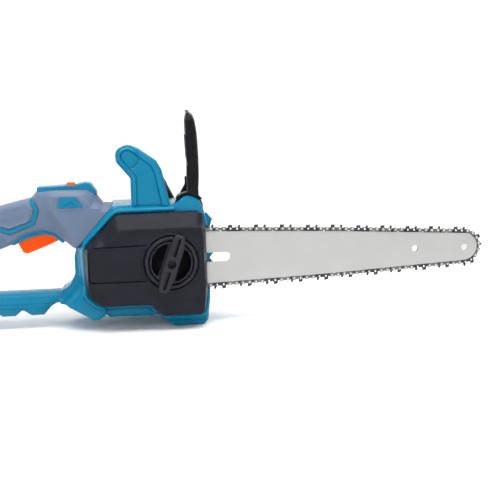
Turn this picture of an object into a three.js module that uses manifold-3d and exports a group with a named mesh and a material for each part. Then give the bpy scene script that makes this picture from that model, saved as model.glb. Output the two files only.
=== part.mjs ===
// Battery chainsaw with a 35 cm bar, in millimetres: +Z up, +X towards the bar's nose, +Y to the
// user's left. Side outlines are lists of [x, z, corner radius], drawn from the clamp stud (x = 0)
// and the floor (z = 0).
// The whole saw is then moved back by FOOT_X, so that the origin is under the middle of the front foot.
import * as THREE from 'three';
import { mergeVertices } from 'three/addons/utils/BufferGeometryUtils.js';
import Module from 'manifold-3d';

const wasm = await Module();
wasm.setup();

// ---------- driving dimensions ----------
const FOOT_X = 23;                    // from the clamp stud forward to the middle of the front foot
const GAP = 0.3;                      // clearance between pieces that touch
const WALL = 3;                       // moulded wall thickness
const PITCH = 16.51;                  // chain length per drive link (.325 in chain)
const LINKS = 62;                     // drive links in the loop
const NOSE_TEETH = 8;
const DRIVE_TEETH = 7;
const AXIS_Z = 85;                    // height of the bar's centre line and of the drive shaft
const BAR = { y: -36, thick: 4.8, rail: 3.2, groove: 7 };
const NOSE_X = 385;                   // nose sprocket axis
const STUD = { x: 1, z: 84.5 };       // clamp stud and knob axis
const BODY = { right: -40, pad: -33, left: 45 };     // outer faces, and the pad that the bar lies on
const COVER = { face: -61.5, edge: -46, floor: -50 };
const HANDLE = 19;                    // half width of the rear grip
const PIVOT = { x: 26, z: 147.5, r: 3.5 };    // hand guard hinge and its pins
const TRIGGER_PIVOT = { x: -140, z: 129 };
const GEAR = { module: 1.25, pinion: 12, wheel: 42 };
const TUBE_R = 14;                    // front handle tube
const REAR = { x0: -336, x1: -286, top: 124, half: 31 };

const railR = (teeth) => (PITCH * teeth) / (2 * Math.PI);
const motorStep = (GEAR.module * (GEAR.pinion + GEAR.wheel)) / 2 / Math.SQRT2;

// ---------- colours ----------
const paint = (color, roughness, metalness = 0) =>
  new THREE.MeshStandardMaterial({ color, roughness, metalness });
const TEAL = paint(0x0b8fae, 0.42);
const GREY = paint(0x6f7f99, 0.75);
const BLACK = paint(0x2c2d35, 0.55);
const ORANGE = paint(0xff5a00, 0.45);
const STEEL = paint(0xc2c4c2, 0.35, 1);
const DARK_STEEL = paint(0x5a5a5c, 0.45, 1);
const ALUMINIUM = paint(0xb4b7ba, 0.4, 1);
const COPPER = paint(0xb56a3a, 0.4, 1);
const BRASS = paint(0xb9974a, 0.35, 1);
const BOARD = paint(0x1f6b3a, 0.6);
const RUBBER = paint(0x1d1d1f, 0.85);
const MILKY = paint(0xd9dcd4, 0.5);
const CELL = paint(0x3f7fb0, 0.45);

// ---------- solids ----------
function toSolid(geometry) {
  geometry.deleteAttribute('normal');
  geometry.deleteAttribute('uv');
  const merged = mergeVertices(geometry, 1e-3);
  const triVerts = new Uint32Array(merged.index.array);
  const vertProperties = merged.attributes.position.array;
  const solid = new wasm.Manifold(new wasm.Mesh({ numProp: 3, vertProperties, triVerts }));
  if (solid.volume() > 0) return solid;
  for (let i = 0; i < triVerts.length; i += 3) {
    [triVerts[i + 1], triVerts[i + 2]] = [triVerts[i + 2], triVerts[i + 1]];
  }
  return new wasm.Manifold(new wasm.Mesh({ numProp: 3, vertProperties, triVerts }));
}

function toGeometry(solid) {
  const { vertProperties, triVerts, numProp } = solid.getMesh();
  const geometry = new THREE.BufferGeometry();
  const positions = new Float32Array((vertProperties.length / numProp) * 3);
  for (let i = 0; i < positions.length / 3; i++) {
    positions.set(vertProperties.subarray(i * numProp, i * numProp + 3), i * 3);
  }
  geometry.setAttribute('position', new THREE.BufferAttribute(positions, 3));
  geometry.setIndex(new THREE.BufferAttribute(new Uint32Array(triVerts), 1));
  geometry.computeVertexNormals();
  return geometry;
}

const unite = (first, ...rest) => rest.reduce((sum, solid) => sum.add(solid), first);
const cut = (first, ...rest) => rest.reduce((left, solid) => left.subtract(solid), first);

// Area of a closed outline, positive when it runs anticlockwise in x and z.
const area = (outline) => outline.reduce((sum, [x, z], i) => {
  const [nx, nz] = outline[(i + 1) % outline.length];
  return sum + (x * nz - nx * z) / 2;
}, 0);

// Moves every side of an outline inwards by d. A corner radius shrinks or grows with it.
function inset(outline, d) {
  const turn = Math.sign(area(outline));
  const count = outline.length;
  return outline.map(([x, z, radius], i) => {
    const [px, pz] = outline[(i + count - 1) % count];
    const [nx, nz] = outline[(i + 1) % count];
    const a = new THREE.Vector2(x - px, z - pz).normalize();
    const b = new THREE.Vector2(nx - x, nz - z).normalize();
    const cross = (a.x * b.y - a.y * b.x) * turn;
    const normal = new THREE.Vector2(-a.y - b.y, a.x + b.x).multiplyScalar(turn);
    normal.multiplyScalar((2 * d) / normal.lengthSq());
    const rounded = radius === undefined ? [] : [Math.max(radius - Math.sign(cross) * d, 0.2)];
    return [x + normal.x, z + normal.y, ...rounded];
  });
}

// Replaces each corner that has a radius by an arc of the given number of steps.
function round(outline, steps = 2) {
  const count = outline.length;
  return outline.flatMap(([x, z, radius], i) => {
    if (radius === undefined) return [[x, z]];
    const [px, pz] = outline[(i + count - 1) % count];
    const [nx, nz] = outline[(i + 1) % count];
    const a = new THREE.Vector2(px - x, pz - z);
    const b = new THREE.Vector2(nx - x, nz - z);
    const room = Math.min(a.length(), b.length()) * 0.48;
    const half = a.angleTo(b) / 2;
    const reach = Math.min(radius / Math.tan(half), room);
    a.setLength(reach);
    b.setLength(reach);
    const curve = new THREE.QuadraticBezierCurve(
      new THREE.Vector2(x + a.x, z + a.y), new THREE.Vector2(x, z), new THREE.Vector2(x + b.x, z + b.y));
    return curve.getPoints(steps).map((p) => [p.x, p.y]);
  });
}

// A closed solid through outlines of equal length, each at its own y.
function stack(given) {
  const forward = area(given[0].outline) > 0;
  const layers = given.map(({ y, outline }) => ({ y, outline: forward ? outline : [...outline].reverse() }));
  const count = layers[0].outline.length;
  const positions = layers.flatMap(({ y, outline }) => outline.flatMap(([x, z]) => [x, y, z]));
  const index = [];
  for (let k = 0; k + 1 < layers.length; k++) {
    for (let i = 0; i < count; i++) {
      const a = k * count + i;
      const b = k * count + ((i + 1) % count);
      index.push(a, b, b + count, a, b + count, a + count);
    }
  }
  const cap = (layer, offset, flip) => {
    const points = layer.outline.map(([x, z]) => new THREE.Vector2(x, z));
    for (const [a, b, c] of THREE.ShapeUtils.triangulateShape(points, [])) {
      index.push(offset + a, offset + (flip ? c : b), offset + (flip ? b : c));
    }
  };
  cap(layers[0], 0, true);
  cap(layers[layers.length - 1], (layers.length - 1) * count, false);
  const geometry = new THREE.BufferGeometry();
  geometry.setAttribute('position', new THREE.Float32BufferAttribute(positions, 3));
  geometry.setIndex(index);
  return toSolid(geometry);
}

const slab = (outline, y0, y1, steps = 2) => {
  const points = round(outline, steps);
  return stack([{ y: y0, outline: points }, { y: y1, outline: points }]);
};

// A slab whose outer face, at y0, is smaller by `chamfer` than its body.
const chamfered = (outline, y0, y1, chamfer, steps = 2) => stack([
  { y: y0, outline: round(inset(outline, chamfer), steps) },
  { y: y0 + chamfer * Math.sign(y1 - y0), outline: round(outline, steps) },
  { y: y1, outline: round(outline, steps) },
]);

const box = (x0, x1, y0, y1, z0, z1) => toSolid(
  new THREE.BoxGeometry(x1 - x0, y1 - y0, z1 - z0)
    .translate((x0 + x1) / 2, (y0 + y1) / 2, (z0 + z1) / 2));

const discY = (x, z, radius, y0, y1, segments = 18) => toSolid(
  new THREE.CylinderGeometry(radius, radius, y1 - y0, segments).translate(x, (y0 + y1) / 2, z));

const rodX = (x0, x1, y, z, radius, segments = 16) => toSolid(
  new THREE.CylinderGeometry(radius, radius, x1 - x0, segments)
    .rotateZ(Math.PI / 2).translate((x0 + x1) / 2, y, z));

const rodZ = (x, y, z0, z1, radius, segments = 16) => toSolid(
  new THREE.CylinderGeometry(radius, radius, z1 - z0, segments)
    .rotateX(Math.PI / 2).translate(x, y, (z0 + z1) / 2));

// A ring or turned piece about an axis along y; the profile is a closed list of [radius, y].
const turned = (x, z, profile, segments = 18) => toSolid(
  new THREE.LatheGeometry([...profile, profile[0]].map(([r, y]) => new THREE.Vector2(r, y)), segments)
    .translate(x, 0, z));

const ring = (x, z, inner, outer, y0, y1, segments = 18) =>
  turned(x, z, [[inner, y0], [outer, y0], [outer, y1], [inner, y1]], segments);

function tube(points, radius, steps, sides = 8) {
  const curve = new THREE.CatmullRomCurve3(points.map((p) => new THREE.Vector3(...p)), false, 'centripetal');
  const section = new THREE.Shape();
  section.absarc(0, 0, radius, 0, 2 * Math.PI);      // drawn with two points per curve segment
  return toSolid(new THREE.ExtrudeGeometry(section, {
    extrudePath: curve, steps, curveSegments: sides / 2, bevelEnabled: false,
  }));
}

// A wheel with straight-sided teeth, as an outline about (x, z).
function toothed(x, z, teeth, root, tip, share = 0.42) {
  const step = (2 * Math.PI) / teeth;
  return Array.from({ length: teeth }, (_, i) => [
    [root, -share * step], [tip, -0.16 * step], [tip, 0.16 * step], [root, share * step],
  ].map(([r, a]) => [x + r * Math.cos(i * step + a), z + r * Math.sin(i * step + a)])).flat();
}

// ---------- the chain's path: a belt round six circles, anticlockwise ----------
const RAIL = { heelX: 18, heelR: 60, heelHalf: 36.9, midX: 200, midR: 4000, bulge: 1.5 };

function beltCircles(driveX) {
  const noseR = railR(NOSE_TEETH);
  const slope = (RAIL.heelHalf - noseR) / (NOSE_X - RAIL.heelX);
  const tilt = Math.atan(slope);
  const midHalf = RAIL.heelHalf - slope * (RAIL.midX - RAIL.heelX) + RAIL.bulge;
  const mid = (side) => ({
    x: RAIL.midX - RAIL.midR * Math.sin(tilt),
    z: AXIS_Z + side * (midHalf - RAIL.midR * Math.cos(tilt)),
    r: RAIL.midR,
  });
  const heel = (side) => ({ x: RAIL.heelX, z: AXIS_Z + side * (RAIL.heelHalf - RAIL.heelR), r: RAIL.heelR });
  return [
    { x: driveX, z: AXIS_Z, r: railR(DRIVE_TEETH) },
    heel(-1), mid(-1), { x: NOSE_X, z: AXIS_Z, r: noseR }, mid(1), heel(1),
  ];
}

// Straight stretches and arcs of the belt; each entry is one circle's arc as start and end angles.
function beltArcs(circles) {
  const normals = circles.map((c, i) => {
    const n = circles[(i + 1) % circles.length];
    const distance = Math.hypot(n.x - c.x, n.z - c.z);
    return Math.atan2(n.z - c.z, n.x - c.x) - Math.acos((c.r - n.r) / distance);
  });
  return circles.map((c, i) => {
    const start = normals[(i + circles.length - 1) % circles.length];
    const turn = 2 * Math.PI;
    return { ...c, start, end: start + ((((normals[i] - start) % turn) + turn) % turn) };
  });
}

function beltLength(circles) {
  const arcs = beltArcs(circles);
  return arcs.reduce((sum, c, i) => {
    const n = arcs[(i + 1) % arcs.length];
    const straight = Math.sqrt((n.x - c.x) ** 2 + (n.z - c.z) ** 2 - (c.r - n.r) ** 2);
    return sum + c.r * (c.end - c.start) + straight;
  }, 0);
}

// The drive shaft stands where the belt is exactly LINKS links long.
function solveDriveX() {
  let x = -60;
  for (let i = 0; i < 20; i++) x += (beltLength(beltCircles(x)) - LINKS * PITCH) / 2;
  return x;
}
const DRIVE_X = solveDriveX();
const BELT = beltCircles(DRIVE_X);
const MOTOR = { x: DRIVE_X + motorStep, z: AXIS_Z + motorStep };

// The belt as an outline, moved outwards by `offset`.
function beltOutline(circles, offset, step = 0.3) {
  return beltArcs(circles.map((c) => ({ ...c, r: c.r + offset }))).flatMap((c) => {
    const count = Math.max(1, Math.ceil((c.end - c.start) / step));
    return Array.from({ length: count + 1 }, (_, k) => {
      const angle = c.start + ((c.end - c.start) * k) / count;
      return [c.x + c.r * Math.cos(angle), c.z + c.r * Math.sin(angle)];
    });
  });
}

// ---------- side outlines ----------
const BODY_OUTLINE = [
  [-66, 152.5, 3], [-113, 100, 10], [-115.5, 88, 10], [-115.5, 66, 12], [-124, 52, 6], [-136, 46, 4],
  [-136, 25, 4], [-113, 21, 8], [-98, 12, 4], [-90, 12, 4], [-80, 17, 4], [-76, 12.5, 3], [-14, 12.5, 4],
  [-4, 5.4, 2], [46.8, 5.4, 2], [50, 34, 6], [50, 120, 6], [46, 138, 4], [42, 150, 4], [36, 152.5, 3],
];
const FOOT_OUTLINE = [[-3.4, 5.1], [3, 0.7, 1.5], [6, 0, 1], [41, 0, 3], [46.4, 5.1]];
const GUARD_BAR_PADS = { first: -164.5, pitch: 34.5, count: 4, low: 15.5, high: 22 };
const GUARD_BAR_TOP = 45.5;
const GUARD_BAR_CORE = [
  [-128, GUARD_BAR_TOP], [-128, GUARD_BAR_PADS.high], [REAR.x1 - 6, GUARD_BAR_PADS.high],
  [REAR.x1 - 6, GUARD_BAR_TOP],
];
const REAR_OUTLINE = [
  [REAR.x1, GUARD_BAR_TOP, 6], [REAR.x1 + 4, 62, 14], [REAR.x1 + 4, 72, 8], [REAR.x1 + 4, 126, 4],
  [REAR.x1 - 20, REAR.top, 20], [REAR.x0, REAR.top - 4, 6], [REAR.x0, 0, 4], [REAR.x1 - 14, 0, 5],
  [REAR.x1 - 4, 15, 6],
];
const HANDLE_OUTLINE = [
  [-52, 150, 4], [-76, 150, 6], [-88, 168, 6], [-97, 172, 8], [-156, 172, 6], [-164, 162.5, 6], [-203, 153, 30],
  [-246, 141, 40], [-300, 121, 10], [-300, 60, 10], [-289, 60, 8], [-276, 76, 22], [-246, 87, 30],
  [-206, 99, 30], [-187, 106, 4], [-171, 116.5, 10], [-152, 121, 10], [-138, 117, 12], [-117, 99, 6],
  [-80, 92, 4],
];
const SHOULDER_OUTLINE = [
  [-67, 151, 2], [-90, 149, 4], [-131, 152, 6], [-140, 138, 8], [-114.4, 98.6, 2],
];
const COVER_OUTLINE = [
  [-62.5, 143, 14], [36, 144, 6], [42, 138, 6], [45, 120, 8], [46, 45, 30], [42, 16, 7],
  [-12, 16, 10], [-24, 30, 12], [-102, 30, 27], [-102, 102, 16],
];
const COVER_FACE_OUTLINE = [
  [-58, 125, 12], [35, 126, 5], [38, 122, 5], [40, 114, 6], [42, 47, 26], [38, 20, 6], [-10, 20, 9],
  [-22, 34, 11], [-97.5, 34, 24], [-97.5, 88, 12],
];
const ARM_OUTLINE = [
  [-44, 153.2, 1], [-44, 184, 5], [-60, 205, 8], [-61, 219, 12], [-46, 226, 12], [-33, 221, 8],
  [-12, 206, 8], [-5, 192, 8], [3.5, 153.2, 1],
];
const GUARD_PROFILE = [
  [24.5, 168], [25, 200], [26, 232], [24.5, 250], [24.5, 262], [28, 265.5], [33, 263.5], [36.5, 250],
  [38, 232], [36.5, 214], [35, 196], [33.5, 168],
];
const TRIGGER_OUTLINE = [
  [-183, 107, 3], [-177.5, 95, 3], [-172, 93.2, 3], [-150, 101.5, 20], [-130.5, 110, 3], [-131, 122, 4],
  [-134, 135, 5], [-146, 135, 5], [-149, 122, 4], [-162, 119, 8], [-180, 112, 3],
];

const FILLER = { x: 12, z: 46 };      // oil filler axis
const BOSSES = [[-107, 70], [-2, 138], [-88, 118], [-92, 30]];
const HEEL_TAIL = { x: -28, half: 9 };  // rounded rear corners of the bar

const side = (y) => Math.sign(y);
const span = (y) => (side(y) * GAP) / 2;      // where a half stops, just short of the parting plane
const tailCircle = (s) => ({ x: HEEL_TAIL.x, z: AXIS_Z + s * HEEL_TAIL.half, r: HEEL_TAIL.half + BAR.rail });
const barCircles = [tailCircle(-1), ...BELT.slice(1), tailCircle(1)];

function guardBarOutline() {
  const { first, pitch, count, low, high } = GUARD_BAR_PADS;
  const pads = Array.from({ length: count }, (_, k) => first - k * pitch)
    .filter((x) => x - 16 > REAR.x1)
    .flatMap((x) => [[x + 16, high], [x + 8, low], [x - 7.5, low], [x - 16, high - 0.5]]);
  return [[-130, GUARD_BAR_TOP], [-130, 27], ...pads, [REAR.x1 - 6, high - 1], [REAR.x1 - 6, GUARD_BAR_TOP]];
}

// ---------- housing halves ----------
const shoulderFace = (y) => (y < 0 ? BODY.right + 5 : BODY.left - 6);

function handleSolid(y, shrink, chamfer) {
  const s = side(y);
  const handle = chamfered(inset(HANDLE_OUTLINE, shrink), s * (HANDLE - shrink), span(y), chamfer);
  const shoulder = chamfered(inset(SHOULDER_OUTLINE, shrink), shoulderFace(y) - s * shrink, span(y), chamfer);
  return handle.add(shoulder);
}

// The part of a half that a hollow reaches through, past the parting plane.
const through = (outline, y) => slab(outline, y, -side(y));

function housingHalf(y) {
  const s = side(y);
  const inner = y < 0 ? BODY.pad + WALL : BODY.left - WALL;
  const outer = unite(
    chamfered(BODY_OUTLINE, y, span(y), 4),
    chamfered(guardBarOutline(), s * 17, span(y), 2),
    chamfered(REAR_OUTLINE, s * REAR.half, span(y), 5),
    handleSolid(y, 2.9, 4),
  );
  const hollow = unite(
    through(inset(BODY_OUTLINE, WALL), inner),
    through(inset(GUARD_BAR_CORE, WALL), s * 13.5),
    through(inset(REAR_OUTLINE, WALL), s * (REAR.half - WALL)),
    through(inset(HANDLE_OUTLINE, 2.9 + WALL), s * (HANDLE - 2.9 - WALL)),
    through(inset(SHOULDER_OUTLINE, 2.9 + WALL), shoulderFace(y) - s * (2.9 + WALL)),
  );
  return cut(outer, hollow, triggerOpening(), lockOffOpening(), batteryWindow());
}

const triggerOpening = () =>
  slab([[-187, 88], [-128, 88], [-128, 127.5], [-150, 127.5], [-187, 118.5]], -8, 8);
const lockOffOpening = () => box(-124, -104, -6.5, 6.5, 150, 200);
const batteryWindow = () => box(REAR.x0 - 5, REAR.x0 + 6, -18, 18, 40, 100);

// A screw post from a half's side wall to the parting plane, drilled from there.
function boss([x, z], y) {
  const [near, far] = y < 0 ? [y, span(y)] : [span(y), y];
  const drill = y < 0 ? [y + 16, 1] : [-1, y - 16];
  return cut(discY(x, z, 4, near, far, 12), discY(x, z, 1.8, ...drill, 8));
}

function housingRight() {
  const cutter = BODY.right - 5;
  const pocket = slab(inset(COVER_OUTLINE, -0.6), cutter, BODY.pad);
  const barMouth = box(38, 60, cutter, BODY.pad, 14, 160);
  const deck = box(8, 60, cutter, BODY.pad, 141, 170);
  const bump = turned(PIVOT.x, PIVOT.z, [[0, -39], [12.5, -39], [15, -36.5], [15, -32], [0, -32]]);
  const bearingSeat = ring(DRIVE_X, AXIS_Z, 11.3, 14, BODY.pad + 1, -24);
  const shell = cut(housingHalf(BODY.right), barMouth, deck);
  return cut(
    unite(cut(unite(shell, bump), pocket), bearingSeat,
      ...BOSSES.map((at) => boss(at, BODY.pad + WALL - 1))),
    discY(DRIVE_X, AXIS_Z, 9, -45, -20, 20),
    discY(STUD.x, STUD.z, 5.4, -45, -20, 16),
    discY(PIVOT.x, PIVOT.z, PIVOT.r + GAP, -34.5, -20, 16),
    discY(PIVOT.x, PIVOT.z, 21, -30.4, -23.6, 28),
  );
}

function housingLeft() {
  const vents = Array.from({ length: 6 }, (_, k) => box(-79 + k * 14, -72 + k * 14, 38, 50, 92, 126));
  const bearingSeat = ring(MOTOR.x, MOTOR.z, 8.8, 11.5, 36.8, BODY.left - 1);
  const web = box(MOTOR.x - 3, MOTOR.x + 3, BODY.left - 5, BODY.left - 1, 90, 130);
  const shell = cut(housingHalf(BODY.left), ...vents);
  return cut(
    unite(shell, bearingSeat, cut(web, discY(MOTOR.x, MOTOR.z, 8.8, 30, 44)),
      ...BOSSES.map((at) => boss(at, BODY.left - WALL + 1))),
    discY(FILLER.x, FILLER.z, 13, 30, 60),
    discY(PIVOT.x, PIVOT.z, PIVOT.r + GAP, 30, 60, 16),
  );
}

// ---------- rear handle ----------
function gripOvermold(y) {
  const s = side(y);
  const skin = unite(
    chamfered(HANDLE_OUTLINE, s * HANDLE, span(y), 5),
    chamfered(SHOULDER_OUTLINE, shoulderFace(y), span(y), 5),
  );
  const core = unite(
    chamfered(inset(HANDLE_OUTLINE, 2.9 - GAP), s * (HANDLE - 2.9 + GAP), -s, 4),
    chamfered(inset(SHOULDER_OUTLINE, 2.9 - GAP), shoulderFace(y) - s * (2.9 - GAP), -s, 4),
  );
  const housing = [BODY_OUTLINE, REAR_OUTLINE].map((outline) => slab(inset(outline, -GAP), -60, 60));
  return cut(skin, core, ...housing, triggerOpening(), lockOffOpening());
}

function handleTopCap() {
  const outline = [
    [-156, 170], [-156, 175.6, 1.5], [-108, 176.4, 8], [-99, 178.6, 6], [-91, 175, 6], [-84.5, 166, 3],
    [-86, 160], [-100, 160],
  ];
  return cut(slab(outline, -13, 13), slab(inset(HANDLE_OUTLINE, -GAP), -30, 30), lockOffOpening());
}

function trigger() {
  return cut(slab(TRIGGER_OUTLINE, -7.2, 7.2), discY(TRIGGER_PIVOT.x, TRIGGER_PIVOT.z, 2.3, -9, 9, 12));
}

function lockOffButton() {
  return unite(box(-121, -111, -5.5, 5.5, 156, 179.5), box(-125, -107, -9, 9, 158, 162));
}

// ---------- front handle and hand guard ----------
function frontHandleArm() {
  const outline = round(ARM_OUTLINE);
  const face = round(inset(ARM_OUTLINE, 3));
  return stack([
    { y: BODY.right, outline: face }, { y: BODY.right + 3, outline },
    { y: -18, outline }, { y: -15, outline: face },
  ]);
}

const TUBE_ROUTE = [
  [-46, -14.5, 208], [-46, 0, 208], [-46, 20, 208], [-46, 40, 208], [-43, 60, 204], [-32, 74, 195],
  [-15, 79, 177], [-1, 77, 152], [11, 71, 126], [19, 62, 104], [24, 50, 90], [25, 44, 84],
];

function frontHandleTube() {
  const foot = chamfered([[6, 112, 10], [42, 112, 10], [42, 66, 10], [6, 66, 10]], 60, BODY.left + GAP, 4);
  return cut(unite(tube(TUBE_ROUTE, TUBE_R, 22, 12), foot), box(-10, 60, 30, BODY.left + GAP, 50, 120));
}

const GUARD = { near: -41, far: 62, window: [-19, 40], windowTop: 202 };

function handGuard() {
  const blade = slab(GUARD_PROFILE, GUARD.near, GUARD.far);
  const window = box(0, 60, ...GUARD.window, 160, GUARD.windowTop);
  const leg = (y0, y1, hub) => unite(
    slab([[24.5, 176], [33.5, 176], [40, 158], [38, 146], [14, 146], [20, 160]], y0, y1),
    discY(PIVOT.x, PIVOT.z, hub, y0, y1, 28));
  return cut(
    unite(cut(blade, window), leg(-29.6, -24.4, 19.7), leg(BODY.left + 0.6, 51, 15)),
    discY(PIVOT.x, PIVOT.z, PIVOT.r + GAP, -40, 60, 16));
}

// ---------- bar, chain and drive ----------
const beltBand = (outer, inner, y0, y1) =>
  cut(slab(beltOutline(BELT, outer), y0, y1), slab(beltOutline(BELT, inner), y0 - 1, y1 + 1));

function guideBar() {
  const [y0, y1] = [BAR.y - BAR.thick / 2, BAR.y + BAR.thick / 2];
  const outline = beltOutline(barCircles, -BAR.rail);
  const rim = cut(slab(beltOutline(barCircles, 1), BAR.y - 0.75, BAR.y + 0.75),
    slab(beltOutline(barCircles, -BAR.rail - BAR.groove), BAR.y - 2, BAR.y + 2));
  const [low, high] = [AXIS_Z - 6, AXIS_Z + 6];
  const slot = slab([[-18, low, 6], [75, low, 6], [75, high, 6], [-18, high, 6]], -45, -30);
  return cut(slab(outline, y0, y1), rim, slot,
    discY(NOSE_X, AXIS_Z, 20, BAR.y - 1, BAR.y + 1, 32),
    discY(NOSE_X, AXIS_Z, 4.6, -45, -30, 16),
    discY(318, AXIS_Z, 4.3, -45, -30, 16),
    discY(-8, AXIS_Z + 20, 3, -45, -30, 12),
    discY(-8, AXIS_Z - 20, 3, -45, -30, 12));
}

function sawChain() {
  const tangs = cut(beltBand(0, -9.4, BAR.y - 0.55, BAR.y + 0.55),
    discY(NOSE_X, AXIS_Z, 22.5, -45, -30), discY(DRIVE_X, AXIS_Z, 22, -45, -30));
  return unite(beltBand(4.6, -2.7, BAR.y - 2.9, BAR.y + 2.9), tangs);
}

const noseSprocket = () => cut(
  slab(toothed(NOSE_X, AXIS_Z, NOSE_TEETH, 11, 17.6), BAR.y - 0.6, BAR.y + 0.6),
  discY(NOSE_X, AXIS_Z, 4.9, -45, -30, 16));
const driveSprocket = () => cut(
  slab(toothed(DRIVE_X, AXIS_Z, DRIVE_TEETH, 10.5, 15.2), BAR.y - 2.6, BAR.y + 2.6),
  discY(DRIVE_X, AXIS_Z, 5.3, -45, -30, 16));

function brakeBand() {
  const arc = (radius, from, to) => Array.from({ length: 25 }, (_, k) => {
    const angle = from + ((to - from) * k) / 24;
    return [DRIVE_X + radius * Math.cos(angle), AXIS_Z + radius * Math.sin(angle)];
  });
  return slab([...arc(24.2, 0.9, 6.7), ...arc(22.7, 6.7, 0.9)], -51, -44);
}

const spurWheel = (x, z, teeth, y0, y1) => {
  const r = (GEAR.module * teeth) / 2;
  return slab(toothed(x, z, teeth, r - GEAR.module * 1.1, r - 0.25, 0.4), y0, y1);
};
const driveGear = () =>
  cut(spurWheel(DRIVE_X, AXIS_Z, GEAR.wheel, -18, -9), discY(DRIVE_X, AXIS_Z, 5.3, -30, 0, 16));
const motorShaft = () => unite(discY(MOTOR.x, MOTOR.z, 4, -20, 41.6, 16),
  spurWheel(MOTOR.x, MOTOR.z, GEAR.pinion, -18.4, -8.6));

function motorStator() {
  return cut(discY(MOTOR.x, MOTOR.z, 28.5, 5, 27, 32),
    slab(toothed(MOTOR.x, MOTOR.z, 12, 17.4, 24, 0.3), 0, 40));
}

function motorWindings() {
  const bars = Array.from({ length: 12 }, (_, k) => {
    const angle = (k * Math.PI) / 6;
    return discY(MOTOR.x + 20.6 * Math.cos(angle), MOTOR.z + 20.6 * Math.sin(angle), 1.6, 2, 30, 6);
  });
  return unite(ring(MOTOR.x, MOTOR.z, 18.6, 24, 1, 4.6), ring(MOTOR.x, MOTOR.z, 18.6, 24, 27.4, 31), ...bars);
}

function motorFan() {
  const blades = Array.from({ length: 9 }, (_, k) =>
    toSolid(new THREE.BoxGeometry(17, 3, 1.4).translate(17, 34.2, 0)
      .rotateY((k * 2 * Math.PI) / 9).translate(MOTOR.x, 0, MOTOR.z)));
  return unite(ring(MOTOR.x, MOTOR.z, 4.3, 10, 32, 36.2), ring(MOTOR.x, MOTOR.z, 9, 26, 35.4, 36.2), ...blades);
}

function gearPlate() {
  const outline = [[-82, 66, 5], [-36, 66, 5], [-8, 96, 6], [-8, 134, 6], [-62, 134, 6], [-82, 112, 6]];
  return cut(slab(outline, -4.6, -1.6), discY(DRIVE_X, AXIS_Z, 11.3, -9, 3),
    discY(MOTOR.x, MOTOR.z, 8.8, -9, 3));
}

// ---------- side cover and clamp ----------
const coverStack = (d, face) => stack([
  { y: BODY.pad - GAP + (d > 0 ? 1 : 0), outline: round(inset(COVER_OUTLINE, d)) },
  { y: COVER.edge, outline: round(inset(COVER_OUTLINE, d)) },
  { y: face, outline: round(inset(COVER_FACE_OUTLINE, d)) },
]);

function sideCover() {
  const shell = cut(coverStack(0, COVER.face), coverStack(2.8, COVER.face + 2.8),
    box(38, 60, -43, -30, 44, 126));
  const cup = discY(STUD.x, STUD.z, 35.4, COVER.face + 0.5, COVER.floor + 2.6, 36);
  return cut(unite(shell, cup), discY(STUD.x, STUD.z, 33, -70, COVER.floor, 36),
    discY(STUD.x, STUD.z, 9.4, -70, -40));
}

const tensionDial = () => turned(STUD.x, STUD.z, [
  [7.6, -43.4], [9, -43.4], [9, -50.3], [32.4, -50.3], [32.4, -61.5], [30.9, -63.6], [28.1, -63.6],
  [26.6, -61.5], [26.6, -52], [7.6, -52],
], 30);
const tensionCam = () => ring(STUD.x, STUD.z, 9.3, 22, -46.9, -43.8);

const WING = { lean: 20, half: 36.5, width: 14.5, waist: 12 };

function clampKnob() {
  const { lean, half, width, waist } = WING;
  const angle = THREE.MathUtils.degToRad(lean);
  const along = ([u, v, radius]) => [
    STUD.x + u * Math.cos(angle) + v * Math.sin(angle),
    STUD.z - u * Math.sin(angle) + v * Math.cos(angle), radius,
  ];
  const quarter = [[width / 2, half, 4], [waist / 2, 0, 20], [width / 2, -half, 4]];
  const wing = [...quarter, ...quarter.map(([u, v, r]) => [-u, -v, r])].map(along);
  const slots = [1, -1].map((s) =>
    slab([[-1.8, s * 9], [1.8, s * 9], [1.8, s * 32], [-1.8, s * 32]].map(along), -80, -69));
  const moon = (s) => {
    const arc = Array.from({ length: 9 }, (_, k) => {
      const a = ((k - 4) / 4) * 1.15;
      return [s * 23 * Math.cos(a), 23 * Math.sin(a)];
    });
    return slab(arc.map(along), -70, -56);
  };
  return cut(
    unite(discY(STUD.x, STUD.z, 26.2, -62.4, -52.4, 36), chamfered(wing, -74, -64.2, 1.5),
      slab(wing, -65, -61).intersect(discY(STUD.x, STUD.z, 26.2, -70, -50, 36)),
      discY(STUD.x, STUD.z, 9.6, -73, -60)),
    moon(1), moon(-1), ...slots, discY(STUD.x, STUD.z, 5.2, -80, -68),
    discY(STUD.x, STUD.z, 6.7, -59.6, -40));
}

const clampNut = () => ring(STUD.x, STUD.z, 4.3, 6.4, -59.3, -44, 12);
const barStud = () => unite(discY(STUD.x, STUD.z, 4, -58, -30, 16),
  discY(STUD.x, STUD.z, 5.1, -40.5, -22, 16), discY(STUD.x, STUD.z, 8, -29.6, -25.5, 6));

// ---------- oil ----------
function oilTank() {
  const outline = [[-42, 16.2, 4], [44.5, 16.2, 4], [44.5, 66, 5], [-42, 66, 5]];
  return cut(
    unite(slab(outline, -28, 38), discY(FILLER.x, FILLER.z, 12, 37, 44.4)),
    slab(inset(outline, 2.2), -25.8, 35.8),
    discY(FILLER.x, FILLER.z, 9.6, 30, 46),
    box(-46, -38, -21, -11, 22, 33));
}

function oilCap() {
  const cap = turned(FILLER.x, FILLER.z, [
    [0, 40], [8.6, 40], [8.6, BODY.left + 0.6], [15.5, BODY.left + 0.6], [16, 51], [14, 53], [0, 53],
  ]);
  return unite(cap, box(FILLER.x - 13, FILLER.x + 13, 52, 59, FILLER.z - 2.5, FILLER.z + 2.5));
}

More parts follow.
